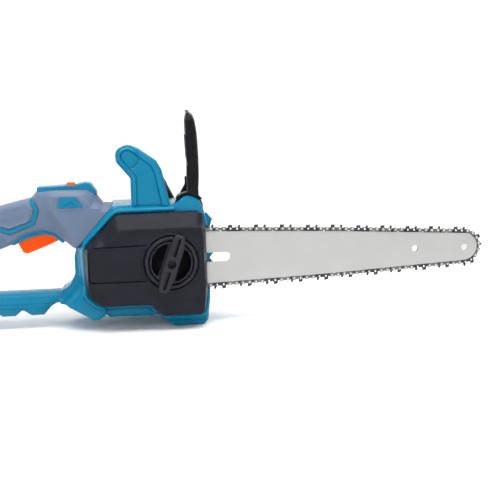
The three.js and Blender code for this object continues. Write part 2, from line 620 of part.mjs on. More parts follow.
const PUMP = { x: DRIVE_X - 11.5, y: -21.2 };
const pumpBody = () =>
  cut(box(PUMP.x - 6, PUMP.x + 6, -28, -14, 40, 57), rodZ(PUMP.x, PUMP.y, 44, 60, 2.9, 12));
const pumpPlunger = () =>
  unite(rodZ(PUMP.x, PUMP.y, 45, 92, 2.4, 12), rodZ(PUMP.x, PUMP.y, 80, 90, 2.75, 12));
const oilHose = () => tube([
  [20, -6, 22], [0, -8, 21], [-20, -12, 22], [-38, -16, 27], [-50, -20, 38], [-58, -21, 47], [-66.7, -21, 50],
], 2.4, 16);

// ---------- electrics ----------
const powerLead = () => tube([
  [-297, 0, 96], [-280, 0, 100], [-246, 0, 115], [-206, 0, 130], [-190, 0, 142], [-176, 0, 148],
  [-150, 0, 150], [-126, 0, 146], [-106, 0, 138], [-90, 0, 128], [-78, 4, 120], [-70, 8, 117],
], 2.5, 22);

function terminalBlock() {
  const blades = [-9, -3, 3, 9].map((y) => box(-348, -334, y - 0.7, y + 0.7, 52, 88));
  return unite(box(REAR.x0 + 0.4, REAR.x0 + 5.6, -17.6, 17.6, 40.4, 99.6),
    box(REAR.x0 + 3.4, REAR.x0 + 6, -24, 24, 34, 106), ...blades);
}

const PACK = { x0: -398, x1: REAR.x0 - 1.2, z0: 3, z1: 118, half: 38 };

function batteryCase() {
  const outline = [
    [PACK.x0 + 6, PACK.z0, 8], [PACK.x1, PACK.z0, 2], [PACK.x1, PACK.z1, 3], [PACK.x0 + 14, PACK.z1, 10],
    [PACK.x0, PACK.z1 - 22, 12], [PACK.x0, PACK.z0 + 10, 8],
  ];
  const points = round(outline);
  const face = round(inset(outline, 4));
  const shell = stack([
    { y: -PACK.half, outline: face }, { y: -PACK.half + 4, outline: points },
    { y: PACK.half - 4, outline: points }, { y: PACK.half, outline: face },
  ]);
  const inside = PACK.half - 3.4;
  const room = box(PACK.x0 + 4, PACK.x1 + 4, -inside, inside, PACK.z0 + 3, PACK.z1 - 10);
  const bladeWay = box(PACK.x1 - 12, PACK.x1 + 4, -14, 14, -10, 10);
  return cut(shell, room, bladeWay, box(PACK.x0 - 4, PACK.x0 + 16, -13, 13, 88, 104));
}

function batteryFace() {
  const half = PACK.half - 3.8;
  const plate = box(PACK.x1 - 6, PACK.x1 - 0.2, -half, half, PACK.z0 + 3.4, PACK.z1 - 10.4);
  return cut(plate, box(PACK.x1 - 12, PACK.x1 + 4, -14, 14, -10, 92));
}

function cellBlock() {
  const cells = [0, 1].flatMap((column) => Array.from({ length: 5 }, (_, row) =>
    discY(PACK.x0 + 15 + column * 19.4, 17 + row * 19, 9.2, -32.6, 32.6, 14)));
  const holder = (y) => box(PACK.x0 + 6, PACK.x0 + 43, y, y + 3, PACK.z0 + 4.4, PACK.z1 - 12.4);
  const latchWay = box(PACK.x0, PACK.x0 + 22, -16, 16, 84, 110);
  return unite(cut(unite(holder(-33.6), holder(30.6)), latchWay), ...cells);
}

const batteryTerminals = () => cut(box(PACK.x1 - 14.6, PACK.x1 - 7, -13, 13, 48, 90),
  ...[-9, -3, 3, 9].map((y) => box(PACK.x1 - 13, PACK.x1, y - 1.2, y + 1.2, 0, 89)));

function batteryLatch() {
  return box(PACK.x0 - 1.5, PACK.x0 + 2.5, -12.6, 12.6, 88.4, 103.6);
}

// ---------- small parts ----------
function bumperSpikes() {
  const teeth = [66, 88, 110].flatMap((z) => [[52, z - 7], [55.3, z], [52, z + 6]]);
  return slab([[50.3, 56], ...teeth, [50.6, 124], [55, 132], [48, 140], [46.6, 138], [50.3, 121]], -29, -19);
}

// ---------- the saw ----------
const saw = new THREE.Group();
saw.position.x = -FOOT_X;

function add(name, solid, material) {
  const mesh = new THREE.Mesh(toGeometry(solid), material);
  mesh.name = name;
  saw.add(mesh);
}

add('housing_right', housingRight(), TEAL);
add('housing_left', housingLeft(), TEAL);
add('front_foot', slab(FOOT_OUTLINE, BODY.right + 2, BODY.left - 2), TEAL);
add('grip_overmold_right', gripOvermold(-1), GREY);
add('grip_overmold_left', gripOvermold(1), GREY);
add('handle_top_cap', handleTopCap(), TEAL);
add('trigger', trigger(), ORANGE);
add('trigger_pin', discY(TRIGGER_PIVOT.x, TRIGGER_PIVOT.z, 2, -12.6, 12.6, 12), STEEL);
add('trigger_spring', ring(TRIGGER_PIVOT.x, TRIGGER_PIVOT.z, 2.5, 4.5, 7.6, 11.8, 16), STEEL);
add('lock_off_button', lockOffButton(), ORANGE);
add('switch_module', box(-180, -153, -9, 9, 127, 142), BLACK);

add('front_handle_arm', frontHandleArm(), TEAL);
add('front_handle_tube', frontHandleTube(), BLACK);
add('hand_guard', handGuard(), BLACK);
add('guard_pin_right', discY(PIVOT.x, PIVOT.z, PIVOT.r, -34.3, -23.8, 16), STEEL);
add('guard_pin_left', discY(PIVOT.x, PIVOT.z, PIVOT.r, BODY.left - 3, 53, 16), STEEL);
add('brake_spring', rodX(-46, -10, -26, 141, 3.6), STEEL);
add('brake_band', brakeBand(), DARK_STEEL);

add('guide_bar', guideBar(), STEEL);
add('nose_sprocket', noseSprocket(), DARK_STEEL);
add('nose_rivet', discY(NOSE_X, AXIS_Z, 4.4, BAR.y - 2.6, BAR.y + 2.6, 16), STEEL);
add('saw_chain', sawChain(), DARK_STEEL);
add('chain_catcher', discY(30, 29, 5, -55, BODY.pad - GAP, 16), ALUMINIUM);
add('bumper_spikes', bumperSpikes(), TEAL);

add('drive_shaft', discY(DRIVE_X, AXIS_Z, 5, -56, 6, 20), STEEL);
add('drive_sprocket', driveSprocket(), DARK_STEEL);
add('brake_drum', turned(DRIVE_X, AXIS_Z,
  [[5.3, -41], [22, -41], [22, -53], [20, -53], [20, -43], [5.3, -43]], 28), DARK_STEEL);
add('drive_gear', driveGear(), STEEL);
add('pump_worm', ring(DRIVE_X, AXIS_Z, 5.3, 8, -23.4, -18.4), BRASS);
add('shaft_bearing_front', ring(DRIVE_X, AXIS_Z, 5.3, 11, -29.7, -24.2), STEEL);
add('shaft_bearing_rear', ring(DRIVE_X, AXIS_Z, 5.3, 11, -5.4, 0.6), STEEL);
add('gear_plate', gearPlate(), ALUMINIUM);
add('motor_shaft', motorShaft(), STEEL);
add('motor_rotor', ring(MOTOR.x, MOTOR.z, 4.3, 16.8, 6, 26), DARK_STEEL);
add('motor_stator', motorStator(), DARK_STEEL);
add('motor_windings', motorWindings(), COPPER);
add('motor_bearing_front', ring(MOTOR.x, MOTOR.z, 4.3, 8.5, -5.2, 0.4), STEEL);
add('motor_bearing_rear', ring(MOTOR.x, MOTOR.z, 4.3, 8.5, 36.9, 41.4), STEEL);
add('motor_fan', motorFan(), BLACK);

add('oil_tank', oilTank(), MILKY);
add('oil_cap', oilCap(), BLACK);
add('oil_hose', oilHose(), RUBBER);
add('oil_filter', rodX(20.4, 36, -6, 23.5, 4.6), BRASS);
add('oil_pump_body', pumpBody(), ALUMINIUM);
add('oil_pump_plunger', pumpPlunger(), STEEL);

add('side_cover', sideCover(), BLACK);
add('tension_dial', tensionDial(), BLACK);
add('tension_cam', tensionCam(), STEEL);
add('clamp_knob', clampKnob(), BLACK);
add('clamp_nut', clampNut(), BRASS);
add('bar_stud', barStud(), STEEL);

add('controller_board', box(-301, -299, -24, 24, 16, 104), BOARD);
add('power_lead', powerLead(), RUBBER);
add('terminal_block', terminalBlock(), BLACK);
add('battery_case', batteryCase(), BLACK);
add('battery_face', batteryFace(), BLACK);
add('battery_cell_block', cellBlock(), CELL);
add('battery_terminals', batteryTerminals(), BRASS);
add('battery_latch', batteryLatch(), ORANGE);

export default saw;
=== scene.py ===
"""Battery chainsaw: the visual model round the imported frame.

Shapes are worked out in millimetres in the saw's design axes: x from the clamp stud towards the bar's nose,
y from the parting plane towards the user's left, z from the floor. They become metres in the frame's own
axes when a mesh is made. Side outlines are lists of [x, z, corner radius].
"""
import math

import bmesh
import bpy
import numpy as np
from mathutils import Matrix, Vector
from mathutils.geometry import delaunay_2d_cdt
from mathutils.kdtree import KDTree


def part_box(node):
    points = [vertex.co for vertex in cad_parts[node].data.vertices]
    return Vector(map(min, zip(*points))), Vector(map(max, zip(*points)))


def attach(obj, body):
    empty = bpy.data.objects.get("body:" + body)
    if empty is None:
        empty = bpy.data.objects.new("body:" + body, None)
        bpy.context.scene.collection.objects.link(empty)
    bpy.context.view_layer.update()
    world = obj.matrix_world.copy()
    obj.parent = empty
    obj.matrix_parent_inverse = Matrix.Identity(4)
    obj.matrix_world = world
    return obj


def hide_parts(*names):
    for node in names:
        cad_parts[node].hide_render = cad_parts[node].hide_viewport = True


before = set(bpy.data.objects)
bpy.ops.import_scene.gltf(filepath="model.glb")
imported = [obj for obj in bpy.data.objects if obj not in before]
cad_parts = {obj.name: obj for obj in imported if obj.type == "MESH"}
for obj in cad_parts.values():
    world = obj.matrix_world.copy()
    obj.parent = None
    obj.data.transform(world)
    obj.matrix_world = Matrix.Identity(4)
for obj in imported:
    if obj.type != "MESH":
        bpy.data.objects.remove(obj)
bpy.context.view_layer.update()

MM = 0.001
STUD_X, STUD_Z = 1.0, 84.5
SHIFT = STUD_X - sum(corner.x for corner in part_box("bar_stud")) / 2 / MM     # design x minus frame x


def centre(node):
    """Middle of a CAD node's box, in design millimetres."""
    low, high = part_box(node)
    x, y, z = (low + high) / 2 / MM
    return x + SHIFT, y, z


# ---------- driving dimensions ----------
PITCH, LINKS, NOSE_TEETH, DRIVE_TEETH = 16.51, 62, 8, 7
NOSE_X, BAR_Y, AXIS_Z = centre("nose_rivet")
DRIVE_X = centre("drive_shaft")[0]
BAR_THICK, BAR_RAIL = 4.8, 3.2
RIGHT, LEFT, PAD = 40, 45, 33              # half widths of the body, and the pad under the cover
COVER_FACE, COVER_EDGE, COVER_BACK = 61.5, 46, 33.3
PIVOT_X, PIVOT_Z = 26, 147.5
SEAM = 0.15                                # each half stops this far from the parting plane
WALL = 3
GRIP = 19                                  # half width of the rear grip

BODY = [
    [-66, 152.5, 3], [-113, 100, 10], [-115.5, 88, 10], [-115.5, 66, 16], [-124, 52, 12], [-136, 46, 10],
    [-136, 32, 3], [-127, 31.5, 6], [-95, 12, 5], [-88, 12, 4], [-80, 17, 4], [-76, 12.5, 3], [-14, 12.5, 4],
    [-4, 5.4, 2], [46.8, 5.4, 2], [50, 34, 6], [50, 120, 6], [46, 138, 4], [42, 150, 4], [36, 152.5, 3],
]
COVER = [
    [-62.5, 143, 14], [36, 144, 6], [42, 138, 6], [45, 120, 8], [46, 45, 30], [42, 16, 7], [-12, 16, 10],
    [-24, 30, 12], [-102, 30, 27], [-102, 102, 16],
]
COVER_TOP = [
    [-58.7, 125, 5], [38.6, 126, 2], [40, 114, 6], [42, 47, 26], [39.5, 19, 6], [-10.5, 19, 9],
    [-22.6, 33.5, 11], [-98, 34, 24], [-97.6, 105.4, 1.5], [-77, 106.4, 5],
]
REAR_X0, REAR_X1, REAR_TOP, REAR_HALF = -336, -286, 124, 31
GUARD_BAR_TOP = 45.5
REAR = [
    [REAR_X1, GUARD_BAR_TOP, 6], [REAR_X1 + 4, 62, 14], [REAR_X1 + 4, 72, 8], [REAR_X1 + 4, 126, 4],
    [REAR_X1 - 20, REAR_TOP, 20], [REAR_X0, REAR_TOP - 4, 6], [REAR_X0, 0, 4], [REAR_X1 - 14, 0, 5],
    [REAR_X1 - 4, 15, 6],
]
HANDLE = [
    [-52, 150, 4], [-76, 150, 6], [-88, 168, 6], [-97, 172, 8], [-156, 172, 6], [-164, 162.5, 6],
    [-203, 153, 30], [-246, 141, 40], [-300, 121, 10], [-300, 60, 10], [-289, 60, 8], [-276, 76, 22],
    [-246, 87, 30], [-206, 99, 30], [-187, 106, 4], [-171, 116.5, 10], [-152, 121, 10], [-138, 117, 12],
    [-117, 99, 6], [-80, 92, 4],
]
SHOULDER = [[-52, 151.5, 2], [-76, 153.2, 4], [-90, 149, 4], [-131, 152, 6], [-140, 138, 8], [-116, 99, 4],
            [-60, 92, 2]]
FACET = [
    [-30, 147, 1], [-92.2, 149.6, 3], [-108.5, 167.5, 5], [-130.5, 168.6, 4], [-136, 164.5, 4],
    [-137.6, 147, 10], [-127, 132, 10], [-113.5, 113, 6], [-110, 95, 3], [-80, 60, 1],
]
WINDOW = [[-130.4, 151.8, 1.2], [-128.3, 164, 1.8], [-109.3, 164, 3.5], [-100.3, 151.9, 1.2]]
ARM = [
    [-43.6, 149, 1], [-43.6, 185, 5], [-60, 205, 8], [-61, 219, 12], [-46, 226, 12], [-33, 221, 8],
    [-12, 206, 8], [-5.6, 194, 6], [4.2, 149, 1],
]
ARM_PANEL = [
    [-37.2, 150.6, 2], [-37.4, 187.2, 3], [-55, 209, 6], [-54.5, 216, 5], [-47, 220.4, 5], [-41.5, 218.4, 6],
    [-17.4, 199.6, 4], [-14, 191, 6], [-6.2, 150.6, 2],
]
GUARD_BAR_PADS = {"first": -164.5, "pitch": 34.5, "count": 4, "low": 15.5, "high": 22}


def guard_bar():
    low, high = GUARD_BAR_PADS["low"], GUARD_BAR_PADS["high"]
    feet = []
    for k in range(GUARD_BAR_PADS["count"]):
        x = GUARD_BAR_PADS["first"] - k * GUARD_BAR_PADS["pitch"]
        if x - 16 > REAR_X1:
            feet += [[x + 16, high, 2], [x + 8, low, 2], [x - 7.5, low, 2], [x - 16, high - 0.5, 2]]
    return [[-122, GUARD_BAR_TOP, 1], [-122, 32, 1], [-140, 30, 4], [-147, 26, 4], *feet[1:],
            [REAR_X1 - 6, high - 1], [REAR_X1 - 6, GUARD_BAR_TOP]]


# ---------- plane geometry ----------
def rounded(outline, step=1.6):
    """Points of an outline, with each corner that has a radius drawn as an arc."""
    corners = [np.array(c[:2], float) for c in outline]
    points = []
    for i, here in enumerate(corners):
        radius = outline[i][2] if len(outline[i]) > 2 else 0
        a, b = corners[i - 1] - here, corners[(i + 1) % len(corners)] - here
        la, lb = np.linalg.norm(a), np.linalg.norm(b)
        a, b = a / la, b / lb
        half = math.acos(max(-1, min(1, float(a @ b)))) / 2
        reach = min(radius / math.tan(half), 0.49 * la, 0.49 * lb) if half < 1.56 else 0
        if reach < 0.05:
            points.append(here)
            continue
        radius = reach * math.tan(half)
        middle = here + (a + b) / np.linalg.norm(a + b) * radius / math.sin(half)
        turn = math.copysign(math.pi - 2 * half, b[0] * a[1] - b[1] * a[0])
        arm = here + a * reach - middle
        count = max(2, round(abs(radius * turn) / step), round(abs(turn) / 0.3))
        for k in range(count + 1):
            c, s = math.cos(turn * k / count), math.sin(turn * k / count)
            points.append(middle + np.array([c * arm[0] - s * arm[1], s * arm[0] + c * arm[1]]))
    return np.array(points)


def dense(points, step, closed=True):
    """The same polyline with no side longer than step."""
    result = []
    for i in range(len(points) - (not closed)):
        a, b = points[i], points[(i + 1) % len(points)]
        count = max(1, math.ceil(np.linalg.norm(b - a) / step))
        result += [a + (b - a) * k / count for k in range(count)]
    if not closed:
        result.append(points[-1])
    return np.array(result)


def depth(points, outline):
    """Distance of each point to an outline, positive inside it."""
    a = outline
    b = np.roll(outline, -1, 0)
    e = b - a
    size = np.maximum((e * e).sum(1), 1e-12)
    found = np.empty(len(points))
    for start in range(0, len(points), 2000):
        p = points[start:start + 2000, None, :]
        w = p - a
        t = np.clip((w * e).sum(2) / size, 0, 1)
        distance = np.linalg.norm(w - e * t[..., None], axis=2).min(1)
        rise = np.where(e[:, 1] == 0, 1e-12, e[:, 1])
        spans = (a[:, 1] > p[..., 1]) != (b[:, 1] > p[..., 1])
        crossed = spans & (p[..., 0] < a[:, 0] + e[:, 0] * (p[..., 1] - a[:, 1]) / rise)
        found[start:start + 2000] = np.where(crossed.sum(1) % 2 == 1, distance, -distance)
    return found


def offset(points, distance):
    """A closed polyline moved inwards by distance; points that would cross over are left out."""
    turn = np.sign(sum(points[i - 1][0] * p[1] - p[0] * points[i - 1][1] for i, p in enumerate(points)))
    before, after = np.roll(points, 1, 0), np.roll(points, -1, 0)
    tangent = after - before
    tangent /= np.maximum(np.linalg.norm(tangent, axis=1), 1e-9)[:, None]
    moved = points + np.stack([-tangent[:, 1], tangent[:, 0]], 1) * turn * distance
    return moved[np.abs(depth(moved, points) - distance) < 0.06 + 0.03 * abs(distance)]


def roll(d, radius, power=2.0):
    """How far a face has dropped at depth d inside an edge rounded by radius."""
    t = np.clip(1 - d / radius, 0, 1)
    return radius * (1 - (1 - t ** power) ** (1 / power))


def bulge(d, radius, power=2.0):
    """1 well inside an edge, falling to 0 at the edge along a superellipse."""
    t = np.clip(1 - d / radius, 0, 1)
    return (1 - t ** power) ** (1 / power)


def hump(x, a, b):
    """A rounded ridge of height 1 between a and b."""
    return np.where((x > a) & (x < b), np.sin(np.pi * np.clip((x - a) / (b - a), 0, 1)), 0)


def step_up(x, a, b):
    """0 before a, 1 after b, smooth between."""
    t = np.clip((x - a) / (b - a), 0, 1)
    return t * t * (3 - 2 * t)


def arc_depths(radius, count=5):
    return [radius * (1 - math.cos(math.pi / 2 * k / count)) for k in range(1, count + 1)]


PLACE = {
    "xz": lambda u, v, w: (u, w, v),
    "yz": lambda u, v, w: (w, u, v), "xy": lambda u, v, w: (u, v, w),
}


def relief(outlines, low, high, holes=(), lines=(), paths=(), rings=(), fine=(), grid=4.0, step=2.5,
           plane="xz"):
    """A closed solid over the union of some outlines, between two faces that are functions of the points.

    lines and paths are closed and open polylines along which a face bends sharply. rings are pairs of an
    outline and depths that extra points follow. fine are pairs of an outline and a closer grid inside it.
    """
    outlines = [np.asarray(o, float) for o in outlines]
    holes = [np.asarray(o, float) for o in holes]
    points, edges = [], []

    def add(polyline, closed):
        start, count = len(points), len(polyline)
        points.extend(polyline)
        edges.extend((start + i, start + (i + 1) % count) for i in range(count - (not closed)))

    for loop in [*outlines, *holes, *lines]:
        add(dense(np.asarray(loop, float), step), True)
    for path in paths:
        add(dense(np.asarray(path, float), step, False), False)
    for loop, depths in rings:
        for d in depths:
            points.extend(offset(dense(np.asarray(loop, float), step), d))

    def within(p):
        return np.max([depth(p, o) for o in outlines], 0)

    def open_at(p):
        return np.max([depth(p, o) for o in holes], 0) if holes else np.full(len(p), -1e9)

    def hexes(loop, size):
        lo, hi = loop.min(0), loop.max(0)
        rows = [
            [(x + (size / 2 if j % 2 else 0), z) for x in np.arange(lo[0], hi[0], size)]
            for j, z in enumerate(np.arange(lo[1], hi[1], size * 0.866))
        ]
        p = np.array([q for row in rows for q in row])
        return p[depth(p, loop) > size * 0.3]

    for loop, size in [*fine, *((o, grid) for o in outlines)]:
        fresh = hexes(np.asarray(loop, float), size)
        fresh = fresh[(within(fresh) > size * 0.3) & (open_at(fresh) < -size * 0.3)]
        tree = KDTree(len(points))
        for i, p in enumerate(points):
            tree.insert((p[0], p[1], 0), i)
        tree.balance()
        points.extend(p for p in fresh if tree.find((p[0], p[1], 0))[2] > size * 0.55)

    flat, _, triangles, *_ = delaunay_2d_cdt([Vector(p) for p in points], edges, [], 0, 1e-4)
    flat = np.array([tuple(p) for p in flat])
    triangles = np.array([t for t in triangles if len(t) == 3])
    a, b, c = (flat[triangles[:, k]] for k in range(3))
    turned = (b[:, 0] - a[:, 0]) * (c[:, 1] - a[:, 1]) - (b[:, 1] - a[:, 1]) * (c[:, 0] - a[:, 0])
    middle = (a + b + c) / 3
    keep = (within(middle) > 0) & (open_at(middle) < 0) & (np.abs(turned) > 1e-7)
    triangles = np.where(turned[:, None] < 0, triangles[:, ::-1], triangles)[keep]
    used = np.unique(triangles)
    index = np.full(len(flat), -1)
    index[used] = np.arange(len(used))
    flat, triangles = flat[used], index[triangles]
    count = len(flat)
    place = PLACE[plane]
    verts = np.concatenate([np.stack(place(flat[:, 0], flat[:, 1], face(flat)), 1) for face in (low, high)])
    faces = [tuple(t) for t in triangles] + [tuple(t[::-1] + count) for t in triangles]
    sides = {}
    for t in triangles:
        for i in range(3):
            pair = (int(t[i]), int(t[(i + 1) % 3]))
            if (pair[1], pair[0]) in sides:
                del sides[(pair[1], pair[0])]
            else:
                sides[pair] = True
    faces += [(i, i + count, j + count, j) for i, j in sides]
    return verts, faces


def prism(outline, w0, w1, plane="xz"):
    points = np.asarray(outline, float)[:, :2]
    count = len(points)
    place = PLACE[plane]
    verts = [place(u, v, w) for w in (w0, w1) for u, v in points]
    faces = [tuple(range(count)), tuple(range(2 * count - 1, count - 1, -1))]
    faces += [(i, (i + 1) % count, (i + 1) % count + count, i + count) for i in range(count)]
    return np.array(verts, float), faces


def box(x0, x1, y0, y1, z0, z1):
    return prism([[x0, z0], [x1, z0], [x1, z1], [x0, z1]], y0, y1)


def lathe(profile, at, segments=64, axis="y"):
    """A closed [radius, height] profile turned about an axis through at, which is two coordinates."""
    verts = []
    for k in range(segments):
        angle = 2 * math.pi * k / segments
        for r, h in profile:
            u, v = at[0] + r * math.cos(angle), at[1] + r * math.sin(angle)
            verts.append({"y": (u, h, v), "x": (h, u, v), "z": (u, v, h)}[axis])
    n = len(profile)
    faces = []
    for k in range(segments):
        for i in range(n):
            j, m = (i + 1) % n, (k + 1) % segments
            faces.append((k * n + i, k * n + j, m * n + j, m * n + i))
    return np.array(verts, float), faces


def smooth_path(points, steps):
    """A Catmull-Rom curve through points."""
    p = np.array([points[0], *points, points[-1]], float)
    p[0], p[-1] = 2 * p[1] - p[2], 2 * p[-2] - p[-3]
    result = []
    for i in range(1, len(p) - 2):
        for k in range(steps):
            t = k / steps
            a, b, c, d = p[i - 1:i + 3]
            result.append(0.5 * (2 * b + (c - a) * t + (2 * a - 5 * b + 4 * c - d) * t ** 2
                                 + (3 * b - a - 3 * c + d) * t ** 3))
    return np.array([*result, p[-2]])


def sweep(path, radius, sides=24):
    """A tube along a path; radius is a number or a function of the share of the way along."""
    path = np.asarray(path, float)
    tangent = np.gradient(path, axis=0)
    tangent /= np.linalg.norm(tangent, axis=1)[:, None]
    normal = np.cross(tangent[0], [0, 0, 1.0] if abs(tangent[0][2]) < 0.9 else [1.0, 0, 0])
    verts = []
    for i, point in enumerate(path):
        normal = normal - tangent[i] * (normal @ tangent[i])
        normal /= np.linalg.norm(normal)
        other = np.cross(tangent[i], normal)
        r = radius(i / (len(path) - 1)) if callable(radius) else radius
        for k in range(sides):
            angle = 2 * math.pi * k / sides
            verts.append(point + r * (normal * math.cos(angle) + other * math.sin(angle)))
    rows = len(path)
    faces = [
        (i * sides + k, i * sides + (k + 1) % sides, (i + 1) * sides + (k + 1) % sides, (i + 1) * sides + k)
        for i in range(rows - 1) for k in range(sides)
    ]
    faces += [tuple(range(sides))[::-1], tuple(range((rows - 1) * sides, rows * sides))]
    return np.array(verts), faces


# ---------- pieces ----------
def solid(name, parts, materials):
    """An object of several closed parts; each part is (verts, faces) or (verts, faces, material number)."""
    mesh = bpy.data.meshes.new(name)
    verts, faces, slots = [], [], []
    for part in parts:
        base = len(verts)
        verts.extend(((x - SHIFT) * MM, y * MM, z * MM) for x, y, z in part[0])
        faces.extend(tuple(int(i) + base for i in face) for face in part[1])
        slots.extend([part[2] if len(part) > 2 else 0] * len(part[1]))
    mesh.from_pydata(verts, [], faces)
    mesh.polygons.foreach_set("material_index", slots)
    shape = bmesh.new()
    shape.from_mesh(mesh)
    bmesh.ops.remove_doubles(shape, verts=shape.verts, dist=2e-6)
    bmesh.ops.dissolve_degenerate(shape, edges=shape.edges, dist=1e-6)
    bmesh.ops.recalc_face_normals(shape, faces=shape.faces)
    shape.to_mesh(mesh)
    shape.free()
    for material in materials:
        mesh.materials.append(material)
    obj = bpy.data.objects.new(name, mesh)
    bpy.context.scene.collection.objects.link(obj)
    return obj


def apply_modifiers(obj):
    graph = bpy.context.evaluated_depsgraph_get()
    mesh = bpy.data.meshes.new_from_object(obj.evaluated_get(graph))
    obj.modifiers.clear()
    obj.data = mesh


def carve(obj, *parts, how="DIFFERENCE"):
    """Cuts closed parts out of an object, or keeps only what is inside them."""
    for part in parts:
        tool = solid("tool", [part], [])
        modifier = obj.modifiers.new("carve", "BOOLEAN")
        modifier.operation, modifier.solver, modifier.object = how, "EXACT", tool
        apply_modifiers(obj)
        bpy.data.objects.remove(tool)


def piece(name, parts, materials, body, replaces=(), sharp=32, bevel=0, segments=3, cuts=(), within=()):
    materials = materials if isinstance(materials, (list, tuple)) else [materials]
    parts = parts if isinstance(parts, list) else [parts]
    obj = solid(name, parts, materials)
    carve(obj, *cuts)
    carve(obj, *within, how="INTERSECT")
    if bevel:
        modifier = obj.modifiers.new("bevel", "BEVEL")
        modifier.width, modifier.segments = bevel * MM, segments
        modifier.limit_method, modifier.angle_limit = "ANGLE", math.radians(28)
        modifier.harden_normals = False
        apply_modifiers(obj)
    obj.data.polygons.foreach_set("use_smooth", [True] * len(obj.data.polygons))
    obj.data.set_sharp_from_angle(angle=math.radians(sharp))
    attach(obj, body)
    if replaces:
        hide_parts(*replaces)
    return obj


# ---------- materials ----------
def material(name, colour, roughness, metallic=0.0, grain=(2600, 0.12), mottle=0.06, spread=0.06, worn=0.0,
             specular=0.5, brushed=None, sheen=0.0, soft=0.0):
    """Procedural material: mottled colour, uneven roughness and a fine moulded or brushed grain."""
    made = bpy.data.materials.new(name)
    made.use_nodes = True
    made.diffuse_color = (*colour, 1)
    nodes, links = made.node_tree.nodes, made.node_tree.links
    shader = nodes["Principled BSDF"]
    shader.inputs["Metallic"].default_value = metallic
    shader.inputs["Specular IOR Level"].default_value = specular
    shader.inputs["Sheen Weight"].default_value = sheen
    shader.inputs["Sheen Roughness"].default_value = 0.5
    if soft:
        shader.inputs["Subsurface Weight"].default_value = soft
        shader.inputs["Subsurface Radius"].default_value = (0.004, 0.004, 0.004)
    where = nodes.new("ShaderNodeTexCoord").outputs["Object"]
    if brushed:
        stretch = nodes.new("ShaderNodeMapping")
        stretch.inputs["Scale"].default_value = brushed
        links.new(where, stretch.inputs["Vector"])
        streaks = stretch.outputs["Vector"]
    else:
        streaks = where

    def noise(vector, scale, detail):
        node = nodes.new("ShaderNodeTexNoise")
        node.inputs["Scale"].default_value = scale
        node.inputs["Detail"].default_value = detail
        links.new(vector, node.inputs["Vector"])
        return node.outputs["Fac"]

    def ramp(factor, low, high, a, b):
        node = nodes.new("ShaderNodeValToRGB")
        node.color_ramp.elements[0].position, node.color_ramp.elements[1].position = low, high
        node.color_ramp.elements[0].color, node.color_ramp.elements[1].color = a, b
        links.new(factor, node.inputs["Fac"])
        return node.outputs["Color"]

    shade = [(*(min(1, c * k) for c in colour), 1) for k in (1 - mottle, 1 + mottle)]
    tint = ramp(noise(where, 34, 5), 0.3, 0.7, *shade)
    if worn:
        edge = nodes.new("ShaderNodeNewGeometry").outputs["Pointiness"]
        mask = ramp(edge, 0.52, 0.62, (0, 0, 0, 1), (worn, worn, worn, 1))
        mix = nodes.new("ShaderNodeMix")
        mix.data_type = "RGBA"
        mix.inputs["B"].default_value = (*(min(1, c * 1.5 + 0.08) for c in colour), 1)
        links.new(mask, mix.inputs["Factor"])
        links.new(tint, mix.inputs["A"])
        tint = mix.outputs["Result"]
    links.new(tint, shader.inputs["Base Color"])
    low, high = roughness - spread, roughness + spread
    links.new(ramp(noise(streaks, 150, 6), 0.32, 0.68, (low,) * 3 + (1,), (high,) * 3 + (1,)),
              shader.inputs["Roughness"])
    bump = nodes.new("ShaderNodeBump")
    bump.inputs["Strength"].default_value = grain[1]
    bump.inputs["Distance"].default_value = 0.0001
    links.new(noise(streaks, grain[0], 3), bump.inputs["Height"])
    links.new(bump.outputs["Normal"], shader.inputs["Normal"])
    return made


TEAL = material("teal_abs", (0.0, 0.166, 0.295), 0.24, grain=(3200, 0.04), mottle=0.03, spread=0.015,
                specular=0.2, worn=0.05)
TEAL_DEEP = material("teal_abs_inner", (0.0, 0.14, 0.26), 0.38, grain=(3000, 0.08), mottle=0.04, spread=0.02,
                     specular=0.2)
GREY = material("grey_soft_touch", (0.102, 0.147, 0.23), 0.55, grain=(2400, 0.3), mottle=0.05, specular=0.35,
                sheen=0.15)
BLACK = material("cover_black", (0.0105, 0.0108, 0.0175), 0.4, grain=(2000, 0.3), mottle=0.1, specular=0.13,
                 worn=0.04)
KNOB = material("knob_black", (0.016, 0.0165, 0.023), 0.3, grain=(2600, 0.12), mottle=0.1, specular=0.2,
                worn=0.05)
# Painted shade: a near-black, dull copy of the knob's plastic for the sheet under the half-moon openings, so
# they read as deep and shaded.
KNOB_RECESS_SHADE = material("knob_recess_painted_shade", (0.004, 0.004, 0.005), 0.7, grain=(1800, 0.4), mottle=0.2, specular=0.05)
HANDLE_BLACK = material("guard_black", (0.006, 0.0062, 0.008), 0.3, grain=(2200, 0.2), mottle=0.1,
                        specular=0.1)
ORANGE = material("orange_abs", (1.0, 0.085, 0.0), 0.38, grain=(3000, 0.06), mottle=0.03, specular=0.12)
BAR_STEEL = material("bar_steel", (0.445, 0.449, 0.438), 0.4, metallic=0.75, grain=(300, 0.08), mottle=0.02,
                     brushed=(0.4, 1, 14))
LINK_STEEL = material("link_steel", (0.14, 0.137, 0.134), 0.3, metallic=1, grain=(1500, 0.3), mottle=0.3,
                      worn=0.5)
DARK_LINK = material("blued_steel", (0.04, 0.04, 0.045), 0.36, metallic=0.8, grain=(1500, 0.3), mottle=0.3,
                     worn=0.3)
